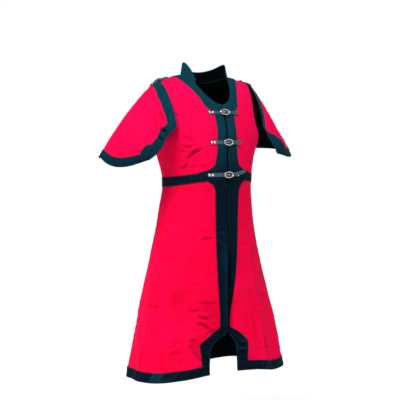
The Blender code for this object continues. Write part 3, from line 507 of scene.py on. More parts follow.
def body_point(angle, rise, facing):
    """Points of the body's outer surface.

    A level section is a superellipse, half_width across and front or back deep. Above the
    armpit its depth and height follow a superellipse up to the shoulder's ridge.
    """
    angle, rise = np.broadcast_arrays(np.asarray(angle, float), np.asarray(rise, float))
    swing = np.radians(angle)
    around = way_round(angle, facing)
    waist = blend(WAIST["angle"], WAIST["z"], np.abs(around))
    hem = blend(HEM["angle"], HEM["z"], around)
    low = np.where(rise < 0, waist + rise * (waist - hem), waist + rise * (ARMPIT_Z - waist))
    low = np.minimum(low, ARMPIT_Z)
    half, front, back, square = (blend(RINGS["z"], RINGS[name], low)
                                 for name in ("half_width", "front", "back", "squareness"))
    across = half * signed_power(np.sin(swing), 2 / square)
    lift = np.radians(np.clip(rise - 1.0, 0.0, None) * 90.0)
    is_front = np.sign(np.cos(swing)) * np.sign(np.cos(lift)) * facing >= 0
    depth = np.where(is_front, front, back) * np.abs(np.cos(swing)) ** (2 / square)
    across_power = np.where(is_front, FRONT_CHEST[0], BACK_CHEST[0])
    height_power = np.where(is_front, FRONT_CHEST[1], BACK_CHEST[1])
    depth = depth * np.abs(np.cos(lift)) ** (2 / across_power)
    ridge = blend(RIDGE["x"], RIDGE["z"], np.abs(across))
    z = low + (ridge - ARMPIT_Z) * np.sin(lift) ** (2 / height_power)
    y = np.where(is_front, -depth, depth)
    out = flute_depth(around, low) / np.maximum(np.hypot(across, y), 0.05)
    return np.stack([across * (1 + out), y * (1 + out), z], -1)


def unit(vectors):
    return vectors / np.linalg.norm(vectors, axis=-1, keepdims=True)


def body_normal(angle, rise, facing):
    """Outward normals, from the surface's slopes on both sides of a point."""
    turn, rise_step = 0.5, 0.004
    along = body_point(angle + turn, rise, facing) - body_point(angle - turn, rise, facing)
    up = body_point(angle, rise + rise_step, facing) - body_point(angle, rise - rise_step, facing)
    return unit(np.cross(along, up) * facing)


def angle_at(x, rise, facing):
    """The angle whose point lies x metres from the middle."""
    angles = np.linspace(0.0, 90.0, 361)
    reach = body_point(angles, np.full(361, rise), facing)[:, 0]
    return float(np.interp(x, reach, angles))


def front_spot(x, z):
    """Angles and rises of the front's points at x and z, by repeated small corrections."""
    x, z = np.broadcast_arrays(np.asarray(x, float), np.asarray(z, float))
    rise = 1.0 + (z - ARMPIT_Z) / (ARMPIT_Z - WAIST["z"][0])
    angle = np.degrees(np.arcsin(np.clip(np.abs(x) / RINGS["half_width"][-1], 0.0, 0.99)))
    nudge = 0.002
    for _ in range(30):
        here = body_point(angle, rise, FRONT)
        steep = (body_point(angle, rise + nudge, FRONT)[..., 2] - here[..., 2]) / nudge
        rise = rise + 0.7 * (z - here[..., 2]) / steep
        angle = np.clip(angle * (np.abs(x) / np.maximum(here[..., 0], 1e-9)) ** 0.9, 0.0, 89.0)
    return np.copysign(angle, x), rise


def lengths_along(points, axis):
    """Length from the start to each point, along one axis of a grid of points."""
    steps = np.linalg.norm(np.diff(points, axis=axis), axis=-1)
    start = np.zeros_like(np.take(steps, [0], axis=axis))
    return np.concatenate([start, np.cumsum(steps, axis=axis)], axis=axis)


def within_rows(lengths, wanted):
    """Where each wanted length falls in its row of lengths, 0 to 1, for all rows at once."""
    rows, count = lengths.shape
    apart = np.arange(rows)[:, None] * 10.0
    share = np.tile(np.linspace(0.0, 1.0, count), rows)
    found = np.interp((wanted + apart).ravel(), (lengths + apart).ravel(), share)
    return found.reshape(wanted.shape)


def spaced(length):
    """Places from 0 to length, a cloth step apart and closer at both ends."""
    near = EDGE_STEPS * min(1.0, length / 4 / EDGE_STEPS[-1])
    count = max(int(round((length - 2 * near[-1]) / CLOTH_STEP)), 1)
    middle = np.linspace(near[-1], length - near[-1], count + 1)
    return np.concatenate([near[:-1], middle, length - near[-2::-1]])


def shares(*widths):
    """Places over several stretches of those widths, each stretch counted as 1."""
    parts = [spaced(width) / width + index for index, width in enumerate(widths)]
    return np.concatenate([parts[0]] + [part[1:] for part in parts[1:]])


class Cut:
    """How a panel lies on the body: the ends of its rows, and the trim at their start.

    A row runs straight in angle and rise between its ends. Column 0 to 1 is the trim and
    1 to 2 the rest of the row. Between the listed rows all of it changes smoothly.
    """

    def __init__(self, rows, sign, facing, first):
        self.rows = np.array(rows, float)
        self.sign, self.facing, self.first = sign, facing, first
        start_angle, start_rise, end_angle, end_rise = self.rows[:, :4].T
        middle = body_point(sign * (start_angle + end_angle) / 2, (start_rise + end_rise) / 2, facing)
        self.knots = lengths_along(middle, 0)

    def places(self, downs, columns):
        """Angles and rises where the rows at downs meet the columns."""
        ends = [through(self.knots, column, downs)[:, None] for column in self.rows.T]
        start_angle, start_rise, end_angle, end_rise, trim = ends
        share = np.linspace(0.0, 1.0, LINE_SAMPLES)
        line = body_point(self.sign * (start_angle + (end_angle - start_angle) * share),
                          start_rise + (end_rise - start_rise) * share, self.facing)
        lengths = lengths_along(line, 1)
        whole = lengths[:, -1:]
        in_trim = self.first + (trim - self.first) * columns
        beyond = trim + (whole - trim) * (columns - 1)
        place = within_rows(lengths, np.where(columns <= 1, in_trim, beyond))
        angle = self.sign * (start_angle + (end_angle - start_angle) * place)
        return angle, start_rise + (end_rise - start_rise) * place

    def surface(self, downs, columns):
        """Points and normals of the creased cloth there, and its relief."""
        angle, rise = self.places(downs, columns)
        points, normals = body_point(angle, rise, self.facing), body_normal(angle, rise, self.facing)
        relief = body_relief(angle, rise, points[..., 2], self.facing)
        return points + normals * relief[..., None], normals, relief

    def rows_between(self, first, last):
        low, high = self.knots[first], self.knots[last]
        return low + SEAM / 2 + spaced(high - low - SEAM)


def bodice_cut(rows, neck, armhole, sign, facing, first):
    """A bodice panel's cut, from the edges of the neck and the armhole."""
    ends = []
    for start, end, width in zip(rows["start"], rows["end"], rows["trim"]):
        start_x = float(blend(neck["rise"], neck["x"], start)) if start >= neck["rise"][0] else 0.0
        end_x = float(np.interp(end, ARMHOLE["rise"], ARMHOLE[armhole]))
        end_angle = 90.0 if end <= 1.0 else angle_at(end_x, end, facing)
        ends.append((angle_at(start_x, start, facing), start, end_angle, end, width))
    return Cut(ends, sign, facing, first)


def skirt_cut(edge, widths, sign, facing, first):
    """A skirt panel's cut, from the line of its front edge."""
    ends = [(angle_at(x, -down, facing), -down, 90.0, -down, width)
            for down, x, width in zip(SKIRT["down"], edge, widths)]
    return Cut(ends, sign, facing, first)


# Creases

ARC_ANGLES = np.linspace(0.0, 90.0, 91)
ARC_RISES = np.linspace(-1.0, 2.0, 151)
ARCS = {facing: lengths_along(body_point(ARC_ANGLES[None], ARC_RISES[:, None], facing), 1)
        for facing in (FRONT, BACK)}


def arc_length(angle, rise, facing):
    """Length round the body from the middle, read between the four nearest table values."""
    across = np.clip(np.abs(angle), 0.0, 89.999)
    up = np.clip((rise + 1.0) / (ARC_RISES[1] - ARC_RISES[0]), 0.0, len(ARC_RISES) - 1.001)
    column, row = across.astype(int), up.astype(int)
    x, y = across - column, up - row
    arcs = ARCS[facing]
    low = arcs[row, column] * (1 - x) + arcs[row, column + 1] * x
    high = arcs[row + 1, column] * (1 - x) + arcs[row + 1, column + 1] * x
    return np.sign(angle) * (low * (1 - y) + high * y)


def crease_relief(across, up, creases):
    """How far creases move the cloth out (or in, under nought).

    Over a crease's curve the cloth is its depth lower, falling off as a bell curve of its
    width, with a raised lip beside it. Both fade out towards the curve's two ends.
    """
    relief = np.zeros(across.shape)
    for crease in creases:
        start, middle, end = np.array(crease[:6], float).reshape(3, 2) * MM
        width, depth = crease[6] * MM * CREASE_FINE, crease[7] * MM
        corners = np.array([start, middle, end])
        low, high = corners.min(0) - CREASE_REACH * width, corners.max(0) + CREASE_REACH * width
        near = (across > low[0]) & (across < high[0]) & (up > low[1]) & (up < high[1])
        if not near.any():
            continue
        share = np.linspace(0.0, 1.0, CREASE_POINTS)[:, None]
        pull = 2 * middle - (start + end) / 2
        curve = (1 - share) ** 2 * start + 2 * share * (1 - share) * pull + share ** 2 * end
        here = np.stack([across[near], up[near]], -1)[:, None]
        origin, run = curve[:-1], np.diff(curve, axis=0)
        part = np.clip(((here - origin) * run).sum(-1) / (run ** 2).sum(-1), 0.0, 1.0)
        gap = here - origin - part[..., None] * run
        away = np.linalg.norm(gap, axis=-1)
        best = away.argmin(1)
        pick = np.arange(len(best))
        distance = away[pick, best]
        along = (best + part[pick, best]) / len(run)
        side = run[best, 0] * gap[pick, best, 1] - run[best, 1] * gap[pick, best, 0]
        fade = 1 - np.abs(2 * along - 1) ** CREASE_FADE
        trough = np.exp(-(distance / width) ** 2)
        lip = np.exp(-((distance / width - CREASE_LIP_AWAY) / CREASE_LIP_WIDTH) ** 2) * (side > 0)
        relief[near] += depth * fade * (CREASE_LIP * lip - trough)
    return relief


def drape(around, z):
    """Slow waves round the coat, a few tenths of a millimetre at the chest and more at the hem."""
    turn = np.radians(around)
    wave = sum(share * np.sin(often * turn + down * z + start) for often, down, start, share in SLOW_WAVES)
    return wave * (SLOW_HEIGHT + sizes().swell * 0.5 * step(*SLOW_FALL, -z))


def wrinkles(turn, z):
    """Small uneven wrinkles across the cloth, in patches.

    Two sizes of waves run down the cloth. Slower waves round it bend them, cut them into
    short pieces and keep them in patches, so no two are alike.
    """
    down = z / MM
    down = down + 7 * np.sin(9 * turn + 0.7) + 5 * np.sin(14 * turn - down / 29)
    turn = turn + 0.03 * np.sin(down / 31 + 1.3) + 0.02 * np.sin(down / 17 + 5 * turn)
    waves = sum(share * (np.sin(down / pitch + bend * np.sin(bends * turn + start))
                         * (0.5 + 0.5 * np.sin(often * turn + down / length)))
                for pitch, bend, bends, start, often, length, share in WRINKLE_WAVES)
    patches = np.sin(5 * turn + 1.0) * np.sin(down / 83 + 2.0)
    patches = np.clip(0.35 + patches + 0.5 * np.sin(7 * turn - down / 57), 0.0, 1.0)
    return sizes().wrinkle * patches * waves


def slit_relief(arc, z):
    """The front edges, which roll in. Between hip and knee the left one lies back from the right.

    Each part is greatest at the edge and falls to nothing over its reach, as a smooth step.
    """
    window = step(*SLIT_LOW, z) * step(*SLIT_HIGH, z)
    left = -SLIT_BACK * (1 - step(*SLIT_BACK_REACH, arc)) * (arc > 0)
    right = SLIT_OUT * (1 - step(0.0, SLIT_OUT_REACH, -arc)) * (arc <= 0)
    roll = SLIT_ROLL[0] * (1 - step(0.0, SLIT_ROLL[1], np.abs(arc)))
    return window * (left + right) - roll * step(*ROLL_TOP, z) * step(*ROLL_FOOT, z)


def body_relief(angle, rise, z, facing):
    """All that moves the body's cloth in or out. It is still under the straps and tabs."""
    arc = arc_length(angle, rise, facing)
    still = 1 - (1 - step(*STILL_WIDTH, np.abs(arc))) * step(*STILL_WAIST, z)
    if facing == BACK:
        still = np.ones_like(arc)
    still = still * step(*STILL_SHOULDER, z)
    creases = FRONT_CREASES if facing == FRONT else BACK_CREASES
    around = way_round(angle, facing)
    loose = drape(around, z) + wrinkles(np.radians(around), z)
    relief = crease_relief(arc, z, creases) * sizes().crease + loose * still
    return relief + slit_relief(arc, z) if facing == FRONT else relief


# Sleeves

def sleeve_point(side, along, across):
    """Points of a sleeve's outer surface: half a superellipse over the arm at each place along it.

    across is -1 at the front edge, 0 on top and 1 at the back edge.
    """
    data = SLEEVES[side]
    value = {name: blend(data["along"], data[name], along) for name in data}
    swing = np.radians(np.abs(across) * 90.0)
    forward = np.sin(swing) ** (2 / value["square"])
    down = 1 - np.abs(np.cos(swing)) ** (2 / value["square"])
    ahead = across < 0
    edge_x = np.where(ahead, value["front_x"], value["back_x"])
    edge_y = np.where(ahead, value["front_y"], value["back_y"])
    edge_z = np.where(ahead, value["front_z"], value["back_z"])
    x = value["top_x"] + (edge_x - value["top_x"]) * down
    y = edge_y * forward
    z = value["top_z"] + (edge_z - value["top_z"]) * down - value["droop"] * np.sin(2 * swing) * ahead
    return np.stack([x * SIDES[side], y, z], -1)


def sleeve_normal(side, along, across):
    nudge = 0.004
    far = sleeve_point(side, along + nudge, across) - sleeve_point(side, along - nudge, across)
    over = sleeve_point(side, along, across + nudge) - sleeve_point(side, along, across - nudge)
    return unit(np.cross(over, far) * -SIDES[side])


def sleeve_places(side, rows, columns):
    """Where rows and columns lie on a sleeve.

    Columns: 0 to 1 the front underarm trim, 1 to 2 the cloth, 2 to 3 the back trim.
    Rows: 0 to 1 the armhole trim, 1 to 2 the cloth, 2 to 3 the cuff trim.
    """
    fine = np.linspace(0.0, 1.0, 61)
    sweep = np.linspace(-SLEEVE_EDGE, SLEEVE_EDGE, LINE_SAMPLES)
    lengths = lengths_along(sleeve_point(side, fine[:, None], sweep[None]), 1)
    front = through(*UNDERARM_FRONT[side].values(), fine)[:, None]
    back = through(*UNDERARM_BACK.values(), fine)[:, None]
    whole = lengths[:, -1:]
    wanted = np.select([columns <= 1, columns <= 2],
                       [front * columns, front + (whole - front - back) * (columns - 1)],
                       whole - back * (3 - columns))
    across = SLEEVE_EDGE * (2 * within_rows(lengths, wanted) - 1)
    down = lengths_along(sleeve_point(side, fine[:, None], across), 0).T
    arm = through(*ARMHOLE_WIDTH[side].values(), across[0])[:, None]
    whole = down[:, -1:]
    wanted = np.select([rows <= 1, rows <= 2],
                       [arm * rows, arm + (whole - arm - CUFF_WIDTH) * (rows - 1)],
                       whole - CUFF_WIDTH * (3 - rows))
    along = within_rows(down, wanted).T
    column = np.broadcast_to(np.arange(len(columns)), along.shape)
    spot = np.clip(along * 60, 0, 59.999)
    row = spot.astype(int)
    over = across[row, column] * (row + 1 - spot) + across[row + 1, column] * (spot - row)
    return along, over


def sleeve_surface(side, rows, columns):
    """Points, normals and relief of a sleeve's creased cloth."""
    along, across = sleeve_places(side, rows, columns)
    points = sleeve_point(side, along, across)
    normals = sleeve_normal(side, np.clip(along, 0.01, 0.99), across)
    length, girth = SLEEVE_SPAN[side]
    wave = np.sin(9 * along + 6 * across + 1.0) + 0.6 * np.sin(21 * along - 11 * across)
    swell = SLEEVE_SWELL * wave * step(*SLEEVE_SWELL_START, along)
    loose = wrinkles(across * SLEEVE_TURN, along * length)
    loose = loose * step(*SLEEVE_LOOSE_START, along) * step(*SLEEVE_LOOSE_END, along)
    creases = crease_relief(along * length, across * girth, SLEEVE_CREASES[side])
    relief = creases * sizes().crease + swell + loose
    return points + normals * relief[..., None], normals, relief


# Meshes

def edge_distance(points, joined):
    """Distance of each grid point to the nearest edge, along the rows and the columns.

    Where an edge runs aslant to a row, the length along the row is shortened by the sine
    of the angle between them. The first column of the joined rows isn't an edge.
    """
    rows, columns = lengths_along(points, 1), lengths_along(points, 0)

    def sine(edge, inner):
        run = unit(np.gradient(edge, axis=0))
        way = unit(inner - edge)
        return np.maximum(np.linalg.norm(np.cross(run, way), axis=-1), 0.05)

    start = rows * sine(points[:, 0], points[:, 2])[:, None]
    start[:joined] = 1.0
    end = (rows[:, -1:] - rows) * sine(points[:, -1], points[:, -3])[:, None]
    top = columns * sine(points[0], points[2])[None]
    bottom = (columns[-1:] - columns) * sine(points[-1], points[-3])[None]
    return np.minimum(np.minimum(start, end), np.minimum(top, bottom))


def quads(rows, columns, start, turned):
    """Corner numbers of a grid's quads, all at once."""
    index = np.arange(rows * columns).reshape(rows, columns) + start
    ring = [index[:-1, :-1], index[:-1, 1:], index[1:, 1:], index[1:, :-1]]
    if turned:
        ring = ring[::-1]
    return np.stack(ring, -1).reshape(-1, 4)


def shell_arrays(points, normals, lift, thickness, rounding, joined=0):
    """Outer and inner grid of a thin shell, its edges rounded as quarter circles.

    The outer grid is lift above the points, the inner one thickness below it, and both
    come together at half the thickness along the edges.
    """
    near = np.clip(edge_distance(points, joined) / rounding, 0.0, 1.0)
    dip = thickness / 2 * (1 - np.sqrt(1 - (1 - near) ** 2))
    outer = points + normals * (lift - dip)[..., None]
    inner = points + normals * (lift - thickness + dip)[..., None]
    return outer, inner


def bound_faces(rows, columns, bound):
    """Which faces of a grid lie in the bindings: (edge, first row, last row) for each one."""
    faces = np.zeros((rows - 1, columns - 1), bool)
    wide = len(EDGE_STEPS) - 1
    for edge, first, last in bound:
        if edge == "start":
            faces[first:last, :wide] = True
        elif edge == "end":
            faces[first:last, -wide:] = True
        elif edge == "top":
            faces[:wide] = True
        else:
            faces[-wide:] = True
    return faces


def shell_mesh(name, grids, finishes, bound=()):
    """A closed mesh from (outer, inner, relief) grids, welded where they touch.

    Its UV map is in metres, along the rows and down the columns, and a point attribute
    holds the relief in millimetres, read by the cloth finishes for painted shade in the
    creases and painted highlight on the ridges. The inner faces get the second finish,
    and those of the bound edges the third.
    """
    vertices, faces, uvs, slots, painted_light_relief = [], [], [], [], []
    start = 0
    for outer, inner, relief in grids:
        rows, columns = outer.shape[:2]
        flat = np.stack([lengths_along(outer, 1), lengths_along(outer, 0)], -1).reshape(-1, 2)
        corner = outer[rows // 2:rows // 2 + 2, columns // 2:columns // 2 + 2].reshape(-1, 3)
        facing = np.cross(corner[1] - corner[0], corner[2] - corner[0])
        out = bool(facing @ (outer - inner)[rows // 2, columns // 2] > 0)
        for skin, grid in enumerate((outer, inner)):
            made = quads(rows, columns, start, out == (skin == 1))
            vertices.append(grid.reshape(-1, 3))
            uvs.append(flat)
            painted_light_relief.append(relief.ravel() / MM)
            faces.append(made)
            slot = np.full(len(made), min(skin, len(finishes) - 1))
            slot[bound_faces(rows, columns, bound).ravel()] = 2
            slots.append(slot)
            start += rows * columns
    vertices, faces, uvs = np.concatenate(vertices), np.concatenate(faces), np.concatenate(uvs)
    mesh = bpy.data.meshes.new(name)
    mesh.from_pydata(vertices, [], faces.tolist())
    mesh.uv_layers.new(name="Cloth").data.foreach_set("uv", uvs[faces.ravel()].ravel())
    mesh.attributes.new("painted_light_relief", "FLOAT", "POINT").data.foreach_set("value", np.concatenate(painted_light_relief))
    mesh.polygons.foreach_set("material_index", np.concatenate(slots))
    for finish in finishes:
        mesh.materials.append(finish)
    weld(mesh)
    mesh.shade_smooth()
    return mesh


def weld(mesh):
    work = bmesh.new()
    work.from_mesh(mesh)
    bmesh.ops.remove_doubles(work, verts=work.verts, dist=2e-6)
    bmesh.ops.dissolve_degenerate(work, edges=work.edges, dist=1e-7)
    work.to_mesh(mesh)
    work.free()


def place(name, mesh, node, slot):
    """Puts a finished mesh into the scene, in place of its node."""
    made = bpy.data.objects.new(name, mesh)
    bpy.context.scene.collection.objects.link(made)
    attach(made, "root")
    if node:
        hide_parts(node)
    return made


def cloth_piece(node, grids, lift, thickness, rounding, finishes, slot, joined=0, bound=()):
    """One sewn piece from its surface grids."""
    shells, widths, heights, area = [], [], [], 0.0
    for points, normals, relief in grids:
        outer, inner = shell_arrays(points, normals, np.full(relief.shape, lift), thickness, rounding, joined)
        shells.append((outer, inner, relief))
        across, down = lengths_along(outer, 1), lengths_along(outer, 0)
        widths.append(across[:, -1].max())
        heights.append(down[-1].max())
        side, fall = np.diff(outer, axis=1)[:-1], np.diff(outer, axis=0)[:, :-1]
        area += float(np.linalg.norm(np.cross(side, fall), axis=-1).sum())
    made = place(f"sewn_{node}", shell_mesh(node, shells, finishes, bound), node, slot)
    return made


def padded_panel(node, grids, joined=0, bound=()):
    finishes = (material("red_cloth"), material("lining"), material("teal_cloth"))
    return cloth_piece(node, grids, 0.0, WALL, 0.0030, finishes, "red_cloth", joined, bound)


def sewn_trim(node, grids, joined=0):
    finishes = (material("teal_cloth"),)
    return cloth_piece(node, grids, SEAM + TRIM, TRIM, 0.0009, finishes, "teal_cloth", joined)


# Stitches

STITCH_LINES = []           # (points, normals) of every seam that shows its thread


# A surface's columns run from 0 at its first edge over 1 at its trim's inner edge to 2 at the
# far one, and the threads lie just inside those
THREAD_INSET = 0.003        # from an edge to the thread beside it
THREAD_ENDS = 0.004         # what a thread stops short of its trim's ends


def stitch_line(points, normals, lift):
    """Keeps a line of points for the thread, lift above the surface."""
    STITCH_LINES.append((points + normals * lift, normals))


def thread_line(surface, downs, columns, lift=SEAM + TRIM):
    """A stitch line over part of a surface: one row or one column of it."""
    points, normals, _ = surface(np.atleast_1d(downs), np.atleast_1d(columns))
    stitch_line(points.reshape(-1, 3), normals.reshape(-1, 3), lift)


def stitch_mesh():
    """All stitches as one mesh: each is a short spindle, sunk to half its height in the cloth.

    A spindle's radius goes as the root of 1 - t^2 along its length, squared off by three
    rings of six points between its two ends.
    """
    pitch, radius = sizes().stitch, sizes().thread
    rings, sides = np.array([-0.92, -0.5, 0.5, 0.92]), 6
    swell = np.sqrt(1 - rings ** 2)
    turns = np.linspace(0.0, 2 * math.pi, sides, endpoint=False)
    pattern = np.array([(ring * pitch * 0.40, radius * wide * math.cos(turn), radius * wide * math.sin(turn))
                        for ring, wide in zip(rings, swell) for turn in turns])
    faces = [(ring * sides + side, ring * sides + (side + 1) % sides,
              (ring + 1) * sides + (side + 1) % sides, (ring + 1) * sides + side)
             for ring in range(len(rings) - 1) for side in range(sides)]
    faces = np.array(faces)
    caps = [list(range(sides))[::-1], [(len(rings) - 1) * sides + side for side in range(sides)]]
    vertices, every, ends = [], [], []
    start = 0
    for points, normals in STITCH_LINES:
        lengths = lengths_along(points, 0)
        middles = np.arange(pitch / 2, lengths[-1] - pitch / 2, pitch)
        if len(middles) == 0:
            continue

        def read(values, where):
            return np.stack([np.interp(where, lengths, values[:, axis]) for axis in range(3)], -1)

        ahead = unit(read(points, middles + pitch * 0.3) - read(points, middles - pitch * 0.3))
        up = read(normals, middles)
        up = unit(up - ahead * (up * ahead).sum(-1, keepdims=True))
        beside = np.cross(up, ahead)
        axes = np.stack([ahead, beside, up], 1)
        spots = read(points, middles)[:, None] + np.einsum("pk,nkx->npx", pattern, axes)
        vertices.append(spots.reshape(-1, 3))
        firsts = start + np.arange(len(middles)) * len(pattern)
        every.append((faces[None] + firsts[:, None, None]).reshape(-1, 4))
        ends.append((np.array(caps)[None] + firsts[:, None, None]).reshape(-1, sides))
        start += len(middles) * len(pattern)
    mesh = bpy.data.meshes.new("stitches")
    corners = np.concatenate(every).tolist() + np.concatenate(ends).tolist()
    mesh.from_pydata(np.concatenate(vertices), [], corners)
    mesh.materials.append(material("thread"))
    mesh.shade_smooth()
    return mesh


# Materials

def material(name):
    found = bpy.data.materials.get(name + "_finish")
    return found or FINISHES[name](name + "_finish")


class Nodes:
    """A material's node tree with short calls to add and join nodes."""

    def __init__(self, name):
        self.made = bpy.data.materials.new(name)
        self.made.use_nodes = True
        self.tree = self.made.node_tree
        self.shader = self.tree.nodes["Principled BSDF"]

    def add(self, kind, inputs=(), **settings):
        node = self.tree.nodes.new("ShaderNode" + kind)
        for name, value in settings.items():
            setattr(node, name, value)
        for name, value in dict(inputs).items():
            if isinstance(value, bpy.types.NodeSocket):
                self.tree.links.new(value, node.inputs[name])
            else:
                node.inputs[name].default_value = value
        return node

    def mix(self, factor, first, second, kind="MIX"):
        node = self.add("Mix", data_type="RGBA", blend_type=kind)
        for index, value in ((0, factor), (6, first), (7, second)):
            if isinstance(value, bpy.types.NodeSocket):
                self.tree.links.new(value, node.inputs[index])
            else:
                node.inputs[index].default_value = value
        return node.outputs[2]

    def math(self, operation, first, second=0.0, third=0.0, clamp=False):
        node = self.add("Math", operation=operation, use_clamp=clamp)
        for index, value in enumerate((first, second, third)):
            if isinstance(value, bpy.types.NodeSocket):
                self.tree.links.new(value, node.inputs[index])
            else:
                node.inputs[index].default_value = value
        return node.outputs[0]

    def stretched(self, value, times, plus):
        """The value times one number plus another, kept between 0 and 1."""
        return self.math("MULTIPLY_ADD", value, times, plus, clamp=True)

    def noise(self, spot, scale, detail=2.0, roughness=0.5, distortion=0.0):
        return self.add("TexNoise", {"Vector": spot, "Scale": scale, "Detail": detail,
                                     "Roughness": roughness, "Distortion": distortion}).outputs[0]

    def spot(self):
        return self.add("TexCoord").outputs["Object"]

    def set(self, **values):
        for name, value in values.items():
            socket = self.shader.inputs[name.replace("_", " ")]
            if isinstance(value, bpy.types.NodeSocket):
                self.tree.links.new(value, socket)
            else:
                socket.default_value = value


def rgba(colour, share=1.0):
    return (*(channel * share for channel in colour), 1.0)


def weave(nodes, pitch, twill):
    """Height of a woven cloth on the UV map: warp and weft waves, with a diagonal for twill."""
    uv = nodes.add("UVMap", uv_map="Cloth").outputs[0]
    scale = nodes.add("Mapping", {"Vector": uv, "Scale": (1 / pitch, 1 / pitch, 1.0)}).outputs[0]
    parts = nodes.add("SeparateXYZ", {"Vector": scale})
    across = nodes.math("SINE", nodes.math("MULTIPLY", parts.outputs[0], 2 * math.pi))
    down = nodes.math("SINE", nodes.math("MULTIPLY", parts.outputs[1], 2 * math.pi))
    plain = nodes.math("MULTIPLY", across, down)
    if not twill:
        return nodes.math("MULTIPLY_ADD", plain, 0.5, 0.5)
    lean = nodes.math("ADD", parts.outputs[0], parts.outputs[1])
    rib = nodes.math("SINE", nodes.math("MULTIPLY", lean, math.pi))
    return nodes.math("MULTIPLY_ADD", nodes.math("MULTIPLY_ADD", plain, 0.4, rib), 0.35, 0.5)


def cloth_finish(name, colour_of, twill, sheen, tint, roughness):
    """Woven cloth: thread relief, nap, slow colour changes, and painted shade that darkens the creases."""
    nodes = Nodes(name)
    height = weave(nodes, sizes().weave, twill)
    spot = nodes.spot()
    slow = nodes.noise(spot, 14.0, 4.0, 0.6)
    nap = nodes.noise(spot, 420.0, 3.0, 0.7)
    squat = nodes.add("Mapping", {"Vector": spot, "Scale": (1.0, 1.0, 1.9)}).outputs[0]
    crumple = nodes.noise(squat, 30.0, 4.0, 0.55, 1.2)
    patch = nodes.stretched(slow, 3.0, -0.9)
    crumple = nodes.math("MULTIPLY", crumple, nodes.math("MULTIPLY_ADD", patch, 0.75, 0.25))
    # The relief in millimetres, which the colour turns into painted shade in creases and painted highlight on
    # ridges.
    painted_light_relief = nodes.add("Attribute", attribute_name="painted_light_relief").outputs["Fac"]
    colour = colour_of(nodes, spot, slow, painted_light_relief)
    threads = nodes.math("MULTIPLY_ADD", height, 0.22, 0.86)
    shade = nodes.mix(1.0, colour, nodes.add("CombineColor", {
        "Red": threads, "Green": threads, "Blue": threads}).outputs[0], "MULTIPLY")
    fine = nodes.math("MULTIPLY_ADD", nap, 0.5, height)
    soft = nodes.add("Bump", {"Height": crumple, "Strength": 1.0, "Distance": 0.0042}).outputs[0]
    bump = nodes.add("Bump", {"Height": fine, "Strength": 0.5, "Distance": 0.00022,
                              "Normal": soft}).outputs[0]
    nodes.set(Base_Color=shade, Roughness=roughness, Sheen_Weight=sheen, Sheen_Roughness=0.45,
              Sheen_Tint=tint, Specular_IOR_Level=0.03, Normal=bump)
    return nodes.made


def red_colour(nodes, spot, slow, painted_light_relief):
    """Painted highlight pinker higher up and on the shoulders, pinker and darker in faint random patches,
    painted shade darker in the creases.
    """
    height = nodes.add("SeparateXYZ", {"Vector": spot}).outputs[2]
    # Painted highlight: a share that grows with height, as if lit from above.
    high = nodes.add("MapRange", {"Value": height, "From Min": -0.40, "From Max": 0.0}).outputs[0]
    patch = nodes.stretched(nodes.noise(spot, 6.0, 3.0), 2.4, -1.05)
    pale = nodes.math("MULTIPLY_ADD", patch, 0.45, nodes.math("MULTIPLY", high, 0.7), clamp=True)
    colour = nodes.mix(nodes.stretched(slow, 1.6, -0.5), rgba(colours().red_deep_and_shade), rgba(colours().red))
    colour = nodes.mix(pale, colour, rgba(colours().red_pale_and_highlight))
    # Painted shade: where the relief dips into a crease the colour darkens.
    deep = nodes.stretched(painted_light_relief, -0.17, -0.12)
    return nodes.mix(deep, colour, rgba(colours().red_deep_and_shade, 0.40))


def teal_colour(nodes, spot, slow, painted_light_relief):
    """Painted highlight lighter on the chest and shoulders, darker down the skirt, mottled all over at
    random, with painted highlight on the fold ridges and painted shade in the creases.
    """
    height = nodes.add("SeparateXYZ", {"Vector": spot}).outputs[2]
    # Painted highlight: lighter with height, as if lit from above.
    chest = nodes.add("MapRange", {"Value": height, "From Min": -0.37, "From Max": -0.20})
    colour = nodes.mix(chest.outputs[0], rgba(colours().teal), rgba(colours().teal_pale_and_highlight))
    mottle = nodes.stretched(slow, 1.8, -0.55)
    colour = nodes.mix(mottle, nodes.mix(1.0, colour, (0.62, 0.66, 0.70, 1.0), "MULTIPLY"), colour)
    # Painted highlight on the ridges of the relief.
    lit = nodes.stretched(painted_light_relief, 0.14, -0.08)
    colour = nodes.mix(lit, colour, rgba(colours().teal_pale_and_highlight))
    rubbed = nodes.stretched(slow, 2.2, -1.25)
    colour = nodes.mix(rubbed, colour, rgba(colours().teal_pale_and_highlight, 0.5))
    # Painted shade: darker where the relief dips into a crease.
    deep = nodes.stretched(painted_light_relief, -0.20, -0.08)
    return nodes.mix(deep, colour, rgba(colours().teal, 0.30))


def red_cloth(name):
    return cloth_finish(name, red_colour, False, 0.16, (1.0, 0.03, 0.40, 1.0), 0.86)


def teal_cloth(name):
    return cloth_finish(name, teal_colour, True, 0.05, (0.05, 0.60, 0.90, 1.0), 0.75)


# The inside of the coat and collar: a dark navy lining whose near-black colour is painted shade.
def lining_cloth(name):
    def plain(nodes, spot, slow, painted_light_relief):
        return nodes.mix(slow, rgba(colours().lining, 0.7), rgba(colours().lining, 1.3))
    return cloth_finish(name, plain, True, 0.04, (0.6, 0.7, 1.0, 1.0), 0.9)


